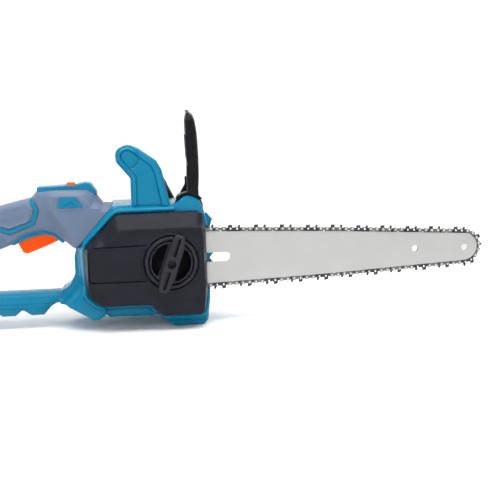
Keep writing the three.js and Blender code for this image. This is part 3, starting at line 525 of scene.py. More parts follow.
# Bright chrome for the nose rivet and the cutters' top plates; on the chain rivets it is a painted highlight.
CHROME_AND_GLINT = material("chrome_and_rivet_glint", (0.72, 0.7, 0.68), 0.24, metallic=1, grain=(1500, 0.1), mottle=0.1)
STEEL = material("machined_steel", (0.55, 0.55, 0.56), 0.3, metallic=1, grain=(900, 0.2), mottle=0.06,
                 worn=0.2)
DARK_STEEL = material("dark_steel", (0.11, 0.11, 0.115), 0.38, metallic=1, grain=(1200, 0.3), mottle=0.2,
                      worn=0.4)
ALUMINIUM = material("cast_aluminium", (0.5, 0.51, 0.52), 0.45, metallic=1, grain=(900, 0.5), mottle=0.08)
COPPER = material("enamelled_copper", (0.5, 0.17, 0.06), 0.3, metallic=1, grain=(1800, 0.5), mottle=0.2,
                  brushed=(1, 6, 1))
BRASS = material("brass", (0.55, 0.36, 0.12), 0.32, metallic=1, grain=(1000, 0.2), mottle=0.1)
TANK = material("milky_tank", (0.66, 0.68, 0.62), 0.45, grain=(1200, 0.2), mottle=0.05, soft=0.2)
RUBBER = material("hose_rubber", (0.012, 0.012, 0.013), 0.7, grain=(1800, 0.4), mottle=0.2, specular=0.3)
CELL = material("cell_wrap", (0.04, 0.18, 0.4), 0.35, grain=(900, 0.1), mottle=0.08)
BOARD = material("circuit_board", (0.01, 0.13, 0.045), 0.45, grain=(700, 0.5), mottle=0.3)


# ---------- camera, floor and light ----------
def add_camera():
    azimuth, elevation, tilt = (math.radians(a) for a in (-9.2, 9.9, 0.8))
    back = Vector((math.sin(azimuth) * math.cos(elevation), -math.cos(azimuth) * math.cos(elevation),
                   math.sin(elevation)))
    right = (-back).cross(Vector((0, 0, 1))).normalized()
    up = right.cross(-back)
    level = Matrix((right * math.cos(tilt) - up * math.sin(tilt),
                    right * math.sin(tilt) + up * math.cos(tilt), back))
    camera = bpy.data.objects.new("camera", bpy.data.cameras.new("camera"))
    camera.data.lens, camera.data.sensor_width = 54, 36
    camera.matrix_world = Matrix.Translation((-0.0701, -0.9504, 0.2534)) @ level.transposed().to_4x4()
    bpy.context.scene.collection.objects.link(camera)
    bpy.context.scene.camera = camera


def add_floor():
    """A round floor that curves up into a pale wall, so that each view has the same plain backdrop."""
    flat, bend, top = 2.6, 1.2, 2.0
    profile = [(0.0, 0.0), (0.7, 0.0), (1.6, 0.0)]
    profile += [(flat + bend * math.sin(a), bend * (1 - math.cos(a)))
                for a in [math.pi / 2 * k / 10 for k in range(11)]]
    profile.append((flat + bend, top))
    mesh = bpy.data.meshes.new("floor")
    shape = bmesh.new()
    line = [shape.verts.new((r, 0, h - 0.0004)) for r, h in profile]
    edges = [shape.edges.new(pair) for pair in zip(line, line[1:])]
    bmesh.ops.spin(shape, geom=line + edges, axis=(0, 0, 1), cent=(0, 0, 0), angle=2 * math.pi, steps=64,
                   use_merge=True)
    bmesh.ops.remove_doubles(shape, verts=shape.verts, dist=1e-5)
    bmesh.ops.recalc_face_normals(shape, faces=shape.faces)
    shape.to_mesh(mesh)
    shape.free()
    mesh.materials.append(material("pale_floor", (0.94, 0.94, 0.94), 0.8, grain=(400, 0.05), mottle=0.004,
                                   specular=0.05))
    mesh.polygons.foreach_set("use_smooth", [True] * len(mesh.polygons))
    floor = bpy.data.objects.new("floor", mesh)
    bpy.context.scene.collection.objects.link(floor)


def add_light(name, place, aim, size, watts):
    light = bpy.data.lights.new(name, "AREA")
    light.shape, light.size, light.size_y, light.energy = "RECTANGLE", size[0], size[1], watts
    lamp = bpy.data.objects.new(name, light)
    lamp.location = place
    lamp.rotation_mode = "QUATERNION"
    lamp.rotation_quaternion = (Vector(aim) - Vector(place)).to_track_quat("-Z", "Y")
    bpy.context.scene.collection.objects.link(lamp)


def add_studio():
    world = bpy.data.worlds.new("studio")
    world.use_nodes = True
    world.node_tree.nodes["Background"].inputs["Color"].default_value = (1, 1, 1, 1)
    world.node_tree.nodes["Background"].inputs["Strength"].default_value = 0.2
    bpy.context.scene.world = world
    bpy.context.scene.view_settings.view_transform = "Standard"
    add_light("top_softbox", (-0.1, -0.3, 1.45), (-0.05, 0, 0.1), (2.1, 0.6), 20)
    add_light("front_strip", (-0.1, -0.65, 1.25), (-0.05, 0, 0.12), (1.8, 0.09), 8)
    add_light("back_strip", (0.05, 0.8, 1.25), (-0.05, 0, 0.12), (1.3, 0.09), 7)
    add_light("key_softbox", (-1.0, -1.3, 1.3), (0, 0, 0.1), (0.6, 0.5), 4)
    add_light("left_softbox", (0.9, 1.6, 1.4), (0, 0, 0.1), (0.7, 0.6), 9)
    for k in range(8):
        turn = math.pi / 4 * (k + 0.5)
        near, far = [(r * math.cos(turn), r * math.sin(turn), h) for r, h in ((1.9, 1.6), (3.8, 0.9))]
        add_light(f"wall_light_{k + 1}", near, far, (1.2, 0.5), 19)


add_camera()
add_floor()
add_studio()


# ---------- housing ----------
BODY_EDGE, COVER_LINE = rounded(BODY), rounded(COVER)
REAR_EDGE, BAR_EDGE = rounded(REAR), rounded(guard_bar())
TEETH = [np.array([[x - 3.2, 14], [x - 2.4, 9.6], [x + 1.2, 9.2], [x + 3, 14]])
         for x in (-44, -37.7, -31.4, -25)]
UNDERCUT = rounded([[-81, 4, 1], [-81, 32, 1], [-16, 32, 1], [-12.5, 20, 1], [-12.5, 4, 1]])
MOUTH = np.array([[38, 44], [60, 44], [60, 126], [38, 126]], float)
DECK = np.array([[8, 141], [60, 141], [60, 160], [8, 160]], float)
RIBS = (26.5, 31.5)                        # heights of the fine grooves along the guard bar
# where the body thins
FLOW = rounded([[-112, 140, 1], [-110, 54, 5], [-130, 34, 3], [-150, 34, 1], [-150, 140, 1]])


def beam(p, outline, half, radius, power=2.0):
    """Half thickness of a bar or block with rounded edges; far below zero outside its outline."""
    d = depth(p, outline)
    return np.where(d > -1e-4, half - roll(d, radius, power), -1e3)


def frame_half(p):
    """Half thickness of the guard bar and the rear block, which are the same on both sides."""
    bar = beam(p, BAR_EDGE, 17, 11, 2.2)
    along = step_up(p[:, 0], REAR_X1, REAR_X1 + 6) * (1 - step_up(p[:, 0], -146, -140))
    for height in RIBS:
        bar -= 0.6 * along * np.clip(1 - np.abs(p[:, 1] - height) / 0.9, 0, 1)
    rear = beam(p, REAR_EDGE, REAR_HALF, 7)
    inner = depth(p, REAR_EDGE)
    rear -= 1.0 * step_up(inner, 10.5, 12)
    return np.maximum(bar, rear)


def thinned(body, p, wide):
    """The body's half thickness, drawn in where its rear edge runs down into the guard bar."""
    return np.where(body > 0, np.minimum(body, wide - (wide - 16.5) * step_up(depth(p, FLOW), -11, 4)), body)


def right_half(p):
    cover = depth(p, COVER_LINE)
    body = thinned(beam(p, BODY_EDGE, RIGHT, 5.5), p, RIGHT)
    body += 1.6 * hump(-cover, 0.7, 6.2) - 0.8 * hump(-cover, 6.0, 7.6)
    sunk = np.minimum(depth(p, UNDERCUT), -cover)
    body = np.where(body > 0, body - 9.5 * step_up(sunk, 0, 0.6), body)
    open_for_bar = (cover > -0.45) | (depth(p, MOUTH) > -1e-4) | (depth(p, DECK) > -1e-4)
    body = np.where(open_for_bar, np.minimum(body, PAD), body)
    teeth = np.max([beam(p, t, 30, 0.6) for t in TEETH], 0)
    return np.maximum(np.maximum(body, teeth), frame_half(p))


LEFT_PANEL = rounded([[-60, 136, 8], [-96, 97, 10], [-98, 60, 10], [-84, 32, 12], [-22, 26, 10], [-8, 22, 6],
                      [34, 22, 12],
                      [38, 60, 10], [38, 130, 10], [30, 138, 8]])
VENTS = [rounded([[-79 + k * 14, 92, 3.4], [-72 + k * 14, 92, 3.4], [-72 + k * 14, 126, 3.4],
                  [-79 + k * 14, 126, 3.4]])
         for k in range(6)]
VENT_FIELD = rounded([[-86, 87, 6], [5, 87, 6], [5, 131, 6], [-66, 131, 6], [-86, 112, 6]])
SCREWS_LEFT = [(-107, 70), (-88, 34), (-20, 30), (38, 24), (36, 128), (-58, 142), (-128, 36), (-271, 34),
               (-320, 14),
               (-320, 110)]
FILLER = (12, 46)


def well(p, at, radius, sunk, wall=0.5):
    """A round counterbore with a slightly sloping wall."""
    return sunk * (1 - step_up(np.hypot(p[:, 0] - at[0], p[:, 1] - at[1]), radius, radius + wall))


def left_half(p):
    body = thinned(beam(p, BODY_EDGE, LEFT, 9), p, LEFT)
    inner = depth(p, LEFT_PANEL)
    body = np.where(body > 0, body - 1.2 * step_up(inner, 0, 1.2) + 0.9 * hump(inner, -2.6, 0), body)
    body = np.where(body > 0, body - 1.4 * step_up(depth(p, VENT_FIELD), 0, 1.0), body)
    from_cap = np.hypot(p[:, 0] - FILLER[0], p[:, 1] - FILLER[1])
    body = np.where((body > 0) & (from_cap < 24), LEFT - 1.2 * (1 - step_up(from_cap, 19, 20)) - 1.2 *
                    step_up(inner, 0, 1.2) * step_up(from_cap, 21, 23.9), body)
    body = np.maximum(body, frame_half(p))
    for at in SCREWS_LEFT:
        body = np.where(body > 0, body - well(p, at, 4.2, 5), body)
    teeth = np.max([beam(p, t, 27, 0.6) for t in TEETH], 0)
    return np.maximum(body, teeth)


def cavity(p, half):
    """Half width of the hollow inside the mouldings, or the seam's distance where the wall is solid."""
    hollow = np.full(len(p), SEAM)
    for edge, wide in ((BODY_EDGE, half), (BAR_EDGE, 17), (REAR_EDGE, REAR_HALF)):
        hollow = np.where(depth(p, edge) > WALL, np.maximum(hollow, wide - 2 * WALL), hollow)
    return hollow


def circle(at, radius, count=28):
    return np.array([[at[0] + radius * math.cos(2 * math.pi * k / count),
                      at[1] + radius * math.sin(2 * math.pi * k / count)]
                     for k in range(count)])


def grown(outline, by):
    return offset(dense(outline, 2.0), -by)


def seam_lines(edges):
    return [offset(dense(e, 2.0), d) for e in edges for d in (WALL, WALL + 0.3)]


def housings():
    edges = (BODY_EDGE, BAR_EDGE, REAR_EDGE)
    common = dict(grid=6, step=3)
    common_lines = seam_lines(edges) + [grown(e, 0.3) for e in edges] + TEETH + [FLOW, grown(FLOW, 11)]
    grooves = [[[REAR_X1 - 2, z + s], [-138, z + s]] for z in RIBS for s in (-0.9, 0, 0.9)]
    roll_rings = [(BODY_EDGE, arc_depths(5.5)), (BAR_EDGE, arc_depths(11, 6)), (REAR_EDGE, arc_depths(7)),
                  (FLOW, [-8, -5, -2, 1.5, 4])]
    rear_panel = [offset(dense(REAR_EDGE, 2.0), d) for d in (10.5, 12)]
    near = relief(
        edges, lambda p: -np.maximum(right_half(p), SEAM + 0.1),
        lambda p: -np.minimum(cavity(p, PAD + 2), right_half(p) - 1),
        holes=[circle((DRIVE_X, AXIS_Z), 9.2), circle((STUD_X, STUD_Z), 5.4)],
        lines=common_lines + rear_panel + [grown(COVER_LINE, d) for d in (0.45, 0.7)]
        + [UNDERCUT, offset(UNDERCUT, 0.6)]
        + [MOUTH, offset(MOUTH, -0.3), DECK, offset(DECK, -0.3)],
        paths=grooves, rings=roll_rings + [(COVER_LINE, [-1.4, -2.4, -3.4, -4.4, -5.4, -6.2, -6.8, -7.4])],
        **common)
    bump = lathe([(0.2, -39.4), (12.2, -39.4), (14, -38.8), (15.3, -37.3), (15.7, -35.5), (15.7, -31),
                  (0.2, -31)],
                 (PIVOT_X, PIVOT_Z), 72)
    fairing = rounded([[-2, 150, 2], [8, 152.6, 8], [17, 160.4, 8], [26.7, 162.8, 9], [36.4, 158, 8],
                       [42.2, 146, 6],
                       [43.6, 138, 3], [-2, 138, 3]])
    skirt = relief([fairing], lambda p: -38.6 + roll(depth(p, fairing), 4.5),
                   lambda p: np.full(len(p), -32.0),
                   rings=[(fairing, arc_depths(4.5))], grid=3, step=1.6)
    slot = prism(circle((PIVOT_X, PIVOT_Z), 21, 56), -30.4, -23.6)
    piece("housing_right_shell", [near], TEAL, "saw_body", ["housing_right"], cuts=[slot])
    piece("guard_hub_boss", [bump, skirt], TEAL, "saw_body")
    wells = [c for at in SCREWS_LEFT for c in (circle(at, 4.2), circle(at, 4.7))]
    far = relief(
        edges, lambda p: np.minimum(cavity(p, LEFT), left_half(p) - 1),
        lambda p: np.maximum(left_half(p), SEAM + 0.1),
        holes=[*VENTS, circle(FILLER, 13.4), circle((PIVOT_X, PIVOT_Z), 3.9)],
        lines=common_lines + rear_panel + wells + [LEFT_PANEL, offset(LEFT_PANEL, 1.2), VENT_FIELD,
                                                   offset(VENT_FIELD, 1),
                                                   circle(FILLER, 19), circle(FILLER, 20),
                                                   circle(FILLER, 24, 40)],
        paths=grooves,
        rings=[(BODY_EDGE, arc_depths(9, 6)), (BAR_EDGE, arc_depths(11, 6)), (REAR_EDGE, arc_depths(7)),
               (FLOW, [-8, -5, -2, 1.5, 4]),
               (LEFT_PANEL, [-0.7, -1.3, -1.9, -2.6])], **common)
    piece("housing_left_shell", [far], TEAL, "saw_body", ["housing_left"])


def front_foot():
    foot = rounded([[-3.4, 6.2, 0.5], [3, 0.7, 2], [6, 0, 2], [41, 0, 4], [46.4, 6.2, 0.5]])
    piece("front_foot_pad", prism(foot, -38, 43), TEAL_DEEP, "saw_body", ["front_foot"],
          bevel=1.2)


housings()
front_foot()


# ---------- side cover ----------
COVER_CREST = rounded(COVER_TOP)
FACE_PANEL = rounded([[-95.6, 104.4, 1.2], [10, 107, 1.2], [10, 64, 1.2], [-95.6, 64.3, 4]])
OVAL = rounded([[5, 41.5, 3.6], [36, 42, 3.6], [36, 34.5, 3.6], [5, 34, 3.6]])


def cover_out(p):
    """How far the cover's outer face stands from the parting plane."""
    outer, crest = depth(p, COVER_LINE), depth(p, COVER_CREST)
    share = np.clip(outer / np.maximum(outer - np.minimum(crest, 0), 1e-6), 0, 1)
    y = COVER_EDGE + (COVER_FACE - COVER_EDGE) * share
    y -= roll(outer, 1.2) + 0.5 * np.exp(-(np.minimum(np.abs(crest), 3) / 0.8) ** 2)
    panel = depth(p, FACE_PANEL)
    from_knob = np.hypot(p[:, 0] - STUD_X, p[:, 1] - STUD_Z)
    beside = step_up(from_knob, 36.0, 36.4)
    y += beside * (0.9 * step_up(panel, 0, 3.2) - 1.4 * hump(panel, -1.7, 0.1) * (outer > 5.5))
    y += 1.1 * hump(from_knob, 33.0, 36.2)
    y += 0.45 * hump(depth(p, OVAL), -0.1, 1.3)
    y -= 0.35 * hump(p[:, 1] - 95, -0.5, 0.5) * (p[:, 0] > 36.4)
    recess = step_up(from_knob, 32.6, 33)
    return y * recess + 50 * (1 - recess)


def cover_in(p):
    outer = depth(p, COVER_LINE)
    from_knob = np.hypot(p[:, 0] - STUD_X, p[:, 1] - STUD_Z)
    hollow = np.where(from_knob < 36.6, 47.4, cover_out(p) - 3.2)
    y = COVER_BACK + (np.maximum(hollow, COVER_BACK) - COVER_BACK) * step_up(outer, 2.6, 3.0)
    mouth = (p[:, 0] > 37.9) & (p[:, 1] > 43.9) & (p[:, 1] < 126.1)
    return np.where(mouth, np.maximum(y, 43.2), y)


def side_cover():
    knob = (STUD_X, STUD_Z)
    mouth = [[60, 43.9], [37.9, 43.9], [37.9, 126.1], [60, 126.1]]
    narrow = [[60, 44.3], [38.3, 44.3], [38.3, 125.7], [60, 125.7]]
    body = relief(
        [COVER_LINE], lambda p: -cover_out(p), lambda p: -cover_in(p), holes=[circle(knob, 9.4)],
        lines=[COVER_CREST, offset(dense(COVER_LINE, 2), 2.6), offset(dense(COVER_LINE, 2), 3.0), FACE_PANEL,
               offset(dense(FACE_PANEL, 2), 3.2), OVAL]
        + [circle(knob, r, 64) for r in (32.6, 33, 34.6, 36.2, 36.6)],
        paths=[mouth, narrow, [[36.4, 94.5], [46, 94.5]], [[36.4, 95], [46, 95]], [[36.4, 95.5], [46, 95.5]]],
        rings=[(COVER_LINE, arc_depths(1.2, 4)), (COVER_CREST, [-2, -1, -0.4, 0.4, 1, 2]),
               (FACE_PANEL, [-1.7, -1.25, -0.8, -0.35, 0.1, 1, 2]), (OVAL, [-0.1, 0.6, 1.3])],
        grid=4, step=2.2)
    piece("cover_shell", body, BLACK, "side_cover", ["side_cover"])


def tension_dial():
    at = (STUD_X, STUD_Z)
    profile = [
        (7.6, -43.4), (9, -43.4), (9, -50.3), (32.2, -50.3), (32.2, -60.2), (31.9, -61.6), (31.2, -62.8),
        (30, -63.5), (28.9, -63.5), (27.8, -62.9), (27.1, -61.7), (26.8, -60.2), (26.7, -52), (7.6, -52),
    ]
    ring = lathe(profile, at, 96)
    grips = []
    for k in range(30):
        angle = 2 * math.pi * k / 30
        c, s = math.cos(angle), math.sin(angle)
        mark = [(at[0] + r * c - t * s, at[1] + r * s + t * c) for r,
                t in ((31.4, -0.7), (32.5, -0.7), (32.5, 0.7), (31.4, 0.7))]
        grips.append(prism(mark, -60.0, -52))
    piece("tension_ring", [ring, *grips], KNOB, "tension_dial", ["tension_dial"], bevel=0.25,
          segments=2)


WING = {"lean": 19, "half": 36.5, "width": 14.5, "waist": 18.5}


def clamp_knob():
    angle = math.radians(WING["lean"])
    cos, sin = math.cos(angle), math.sin(angle)

    def along(points):
        return [[STUD_X + u * cos + v * sin, STUD_Z - u * sin + v * cos, *rest] for u, v, *rest in points]

    w, t, h = WING["width"] / 2, WING["waist"] / 2, WING["half"]
    quarter = [[w - 1.5, h, 4], [w, h - 7, 6], [t, 9, 12], [t, -9, 12], [w, 7 - h, 6], [w - 1.5, -h, 4]]
    wing = rounded(along(quarter + [[-u, -v, r] for u, v, r in quarter]))
    slots = [rounded(along([[-1.9, s * 9.5, 1.4], [1.9, s * 9.5, 1.4], [1.9, s * 32, 1.4],
                            [-1.9, s * 32, 1.4]])) for s in (1, -1)]
    moons = [rounded(along([[s * 10.2, -20.5, 1.5], [s * 10.2, 20.5, 1.5], [s * 14, 20, 5], [s * 21.4, 12, 9],
                            [s * 24.5, 0, 14],
                            [s * 21.4, -12, 9], [s * 14, -20, 5]])) for s in (1, -1)]
    disc = circle((STUD_X, STUD_Z), 26.2, 96)
    hole = circle((STUD_X, STUD_Z), 5.3, 32)

    def outer(p):
        on_disc, on_wing = depth(p, disc), depth(p, wing)
        y = np.where(on_disc > -1e-4, 62.4 - roll(on_disc, 1.6), 60)
        grip = np.where(on_wing > -1e-4, 74 - 1.5 * roll(on_wing, 2.4), 0)
        y = np.maximum(y, grip)
        for slot in slots:
            y -= 9 * step_up(depth(p, slot), 0, 0.3)
        return y - 9 * step_up(depth(p, hole), 0, 0.3)

    body = relief(
        [disc, wing], lambda p: -outer(p), lambda p: -np.where(depth(p, disc) > -1e-4, 52.9, 64.2),
        holes=moons,
        lines=[hole, *slots, offset(wing, -0.25), offset(disc, -0.25), offset(hole, 0.3)]
        + [offset(s, 0.3) for s in slots],
        rings=[(disc, arc_depths(1.6, 4)), (wing, arc_depths(2.4, 5))], grid=2.6, step=1.3)
    # A thin sheet under the half-moon openings, in the painted-shade material.
    floor = lathe([(8.6, -52.35), (25.6, -52.35), (25.6, -52.85), (8.6, -52.85)], (STUD_X, STUD_Z), 96)
    piece("knob_body", [(*body, 0), (*floor, 1)], [KNOB, KNOB_RECESS_SHADE], "clamp_knob",
          ["clamp_knob"])


# ---------- front handle ----------
ARM_EDGE, ARM_INNER = rounded(ARM), rounded(ARM_PANEL)


def front_arm():
    button = (-46.5, 210.5)

    def near(p):
        d = depth(p, ARM_EDGE)
        inner = depth(p, ARM_INNER)
        from_button = np.hypot(p[:, 0] - button[0], p[:, 1] - button[1])
        y = 40 - roll(d, 6, 1.8)
        y -= 1.8 * step_up(inner, 0, 1.2) + 1.0 * hump(inner, -0.2, 1.6) + 0.9 * hump(from_button, 13,
            15.5) * (d > 3)
        return -(y - 1.4 * (1 - bulge(13 - from_button, 13)) * (from_button < 13))

    def far(p):
        return -15 - roll(depth(p, ARM_EDGE), 5)

    body = relief([ARM_EDGE], near, far, lines=[ARM_INNER, offset(dense(ARM_INNER, 2), 1.4)],
                  rings=[(ARM_EDGE, arc_depths(6, 7)), (ARM_INNER, [-0.2, 0.4, 0.8, 1.6]),
                         (circle(button, 15.5, 60), [0, 0.8, 1.6, 2.5, 3.2, 4.5, 6.5, 9, 12])],
                  grid=3.2, step=2)
    piece("arm_moulding", body, TEAL, "saw_body", ["front_handle_arm"], sharp=40)


TUBE_ROUTE = [
    (-46, -14.5, 208), (-46, 0, 208), (-46, 20, 208), (-46, 40, 208), (-43, 60, 204), (-32, 74, 195),
    (-15, 79, 177), (-1, 77, 152), (11, 71, 126), (19, 62, 104), (24, 50, 90), (25, 44, 84),
]


TUBE_FOOT = rounded([[6, 112, 10], [42, 112, 10], [42, 66, 10], [6, 66, 10]])
TUBE_SCREWS = ((14, 104), (34, 74))


def front_tube():
    path = smooth_path(TUBE_ROUTE, 14)

    def radius(share):
        sleeve = step_up(share, 0.045, 0.05) - step_up(share, 0.6, 0.605)
        rib = 0.35 * max(0, math.sin(share * 2 * math.pi * 52)) if 0.07 < share < 0.58 else 0
        return 13.6 + 0.45 * sleeve - rib * sleeve

    tube = sweep(path, radius, 40)
    foot = relief(
        [TUBE_FOOT], lambda p: np.full(len(p), LEFT + 0.3),
        lambda p: LEFT + 15 - roll(depth(p, TUBE_FOOT), 6) - sum(well(p, at, 4.4, 4) for at in TUBE_SCREWS),
        lines=[circle(at, r) for at in TUBE_SCREWS for r in (4.4, 4.9)],
        rings=[(TUBE_FOOT, arc_depths(6))], grid=4, step=2)
    piece("tube_handle", [tube, foot], HANDLE_BLACK, "saw_body", ["front_handle_tube"])


# ---------- hand guard ----------
GUARD_REAR = [(168, 24), (202.6, 25.2), (203.4, 24.3), (234.4, 22.8), (235.2, 23.8), (253, 23.4), (262, 24.6),
              (266, 26.5)]
GUARD_FRONT = [(168, 37), (186, 38), (206, 38), (225, 37.4), (240, 36.4), (253, 34.4), (262, 31.4), (266, 29)]
BLADE = rounded([[-41, 168, 3], [-41, 265.5, 20], [62, 265.5, 26], [62, 168, 3]], 2.5)
BLADE_OPENING = rounded([[-19, 160, 1], [-19, 202, 10], [40, 202, 10], [40, 160, 1]])


def hand_guard():
    sweep_back = 0.065                     # the far side stands further forward

    def curve(table, z):
        return np.interp(z, [t[0] for t in table], [t[1] for t in table])

    def rear(p):
        d = depth(p, BLADE)
        x = curve(GUARD_REAR, p[:, 1]) + 0.6 * roll(d, 4) + sweep_back * (p[:, 0] + 41)
        ribs = sum(hump(p[:, 0] - y, -1.6, 1.6) for y in (-22, 10, 42)) * step_up(d, 8, 14) * step_up(p[:, 1],
            208, 214)
        return x + 2.2 * step_up(d, 6, 8.5) * step_up(p[:, 1], 205, 206) - 1.8 * ribs

    def front(p):
        d = depth(p, BLADE)
        x = curve(GUARD_FRONT, p[:, 1]) - roll(d, 5) + sweep_back * (p[:, 0] + 41)
        return x - 1.6 * step_up(d, 7, 9.5) + 0.8 * hump(d, 3, 7)

    blade = relief([BLADE], rear, front, holes=[BLADE_OPENING],
                   lines=[offset(dense(BLADE, 2), 7), offset(dense(BLADE, 2), 9.5)],
                   paths=[[[-41, z], [62, z]] for z in (202.6, 203.4, 234.4, 235.2)]
                   + [[[y + s, 206], [y + s, 262]] for y in (-22, 10, 42)
                                                                         for s in (-1.6, 0, 1.6)],
                   rings=[(BLADE, arc_depths(5, 5) + [5, 6, 8]),
                          (offset(dense(BLADE_OPENING, 2), -0.1), [-1, -2.5])], grid=4,
                   step=2.4, plane="yz")
    near_leg = rounded([[24.5, 200, 1], [37.6, 200, 1], [37.8, 152, 1], [24.4, 152, 1]])
    leg = rounded([[28, 180, 1], [41, 180, 1], [38, 160, 6], [33, 150, 3], [20, 150, 3], [22, 160, 6],
                   [28, 170, 6]])
    arc = [(PIVOT_X + r * math.cos(a), PIVOT_Z + r * math.sin(a)) for r, sweep_to in ((19.4, 1), (17.6, -1))
           for a in [math.radians(34 + 108 * (k if sweep_to > 0 else 24 - k) / 24) for k in range(25)]]
    eye = [(PIVOT_X + 3.8 * math.cos(-2 * math.pi * k / 24), PIVOT_Z + 3.8 * math.sin(-2 * math.pi * k / 24))
           for k in range(24)]
    hub_near = lathe([(3.9, -29.6), (17.2, -29.6), (17.8, -29), (17.8, -25), (17.2, -24.4), (3.9, -24.4)],
                     (PIVOT_X, PIVOT_Z), 72)
    hub_far = lathe([(3.9, 45.6), (10.7, 45.6), (11.5, 46.4), (11.5, 50.2), (10.7, 51), (3.9, 51)],
                    (PIVOT_X, PIVOT_Z), 64)
    legs = [prism(near_leg, -40.6, -29), prism(leg, -29.6, -24.4), prism(leg, 45.6, 51)]
    shape = solid("guard_legs", legs, [HANDLE_BLACK])
    carve(shape, prism(circle((PIVOT_X, PIVOT_Z), 16.8, 56), -60, -30), prism(eye, -60, 60))
    verts = [(v.co.x / MM + SHIFT, v.co.y / MM, v.co.z / MM) for v in shape.data.vertices]
    faces = [tuple(f.vertices) for f in shape.data.polygons]
    bpy.data.objects.remove(shape)
    piece("guard_moulding", [blade, (verts, faces), hub_near, hub_far, prism(arc, -38.6, -25)], HANDLE_BLACK,
          "hand_guard",
          ["hand_guard"], bevel=0.4, segments=2)


side_cover()
tension_dial()
clamp_knob()
front_arm()
front_tube()
hand_guard()


# ---------- rear grip ----------
GRIP_EDGE, NECK_EDGE = rounded(HANDLE), rounded(SHOULDER)
FACET_EDGE, WINDOW_EDGE = rounded(FACET), rounded(WINDOW)
BAND_OUTER = [[-161.5, 168, 1], [-162, 163.5, 1], [-154.6, 148.2, 1.5], [-160.6, 130.8, 1.5],
              [-190.5, 119.9, 2],
              [-252, 147, 1]]
BAND_INNER = [[-255, 152, 1], [-190.6, 125, 2], [-164.3, 134.6, 1.5], [-159.6, 148.4, 1.5], [-166, 162, 1],
              [-166, 168, 1]]
BAND = rounded(BAND_OUTER + BAND_INNER, 1.2)
PANEL = rounded([[-171.4, 156.5, 2], [-166.3, 147.6, 2], [-169.4, 136.2, 2], [-191, 129.4, 2],
                 [-234, 148.3, 2],
                 [-206, 150.6, 4], [-176, 157.6, 3]], 1.2)
FRAME = rounded([[-135, 148.4, 4], [-133.4, 165, 4], [-130, 167.2, 3], [-109, 166.6, 5], [-95.6, 149.4, 3]],
                1.2)
RIB_FIELD = rounded([[-288, 66, 4], [-279, 84, 10], [-246, 92, 20], [-206, 104, 20], [-193.5, 109, 2],
                     [-193, 113.5, 3],
                     [-214, 126, 6], [-286, 112, 6]], 1.5)
TRIGGER_SLOT = [[-187, 88], [-128, 88], [-128, 127.5], [-150, 127.5], [-187, 118.5]]
RIB_STEP = 3.4


def dimples():
    """Centres of the shallow dimples in the grip's side panel."""
    found = [(x + (1.5 if j % 2 else 0), z) for j, z in enumerate(np.arange(128, 158, 2.6))
             for x in np.arange(-236, -166, 3.0)]
    found = np.array(found)
    return found[depth(found, PANEL) > 2.4]


DIMPLES = dimples()


def grip_half(p, wide):
    """Half thickness of the rear grip, flaring to the body's width round the neck."""
    d = np.maximum(depth(p, GRIP_EDGE), depth(p, NECK_EDGE))
    away = np.clip(-depth(p, FACET_EDGE), 0, 18) / 18
    flare = wide - (wide - 18) * (1 - (1 - away) ** 2)
    half = np.maximum(GRIP * bulge(d, 16, 2.3), flare * bulge(d, 8, 2.3))
    window, frame_edge = depth(p, WINDOW_EDGE), depth(p, FRAME)
    half += 0.8 * step_up(frame_edge, 0, 1.2) - 0.8 * step_up(window, -1.4, 0)
    band, panel = depth(p, BAND), depth(p, PANEL)
    half -= 1.1 * hump(band, -1.6, 1.2)
    half += 1.2 * hump(panel, -3.4, -0.1) * (d > 3)
    near = np.full(len(p), 9.0)
    inside = panel > 0
    if inside.any():
        near[inside] = np.linalg.norm(p[inside][:, None, :] - DIMPLES[None], axis=2).min(1)
    half -= 0.75 * np.clip(1 - (near / 1.2) ** 2, 0, 1)
    across = (p[:, 0] + p[:, 1]) / math.sqrt(2) / RIB_STEP
    half -= 0.9 * (0.5 - 0.5 * np.cos(2 * np.pi * across)) * step_up(depth(p, RIB_FIELD), 0, 1.6)
    return half


def rib_lines():
    """Straight lines along the crests and valleys of the diagonal ribs, kept inside the ribbed field."""
    lines = []
    for k in range(-60, -10):
        for part in (0, 0.25, 0.5, 0.75):
            c = (k + part) * RIB_STEP * math.sqrt(2)
            xs = np.arange(-290, -190, 1.2)
            run = np.stack([xs, c - xs], 1)
            run = run[depth(run, RIB_FIELD) > 0.3]
            if len(run) > 2:
                lines.append([run[0], run[-1]])
    return lines


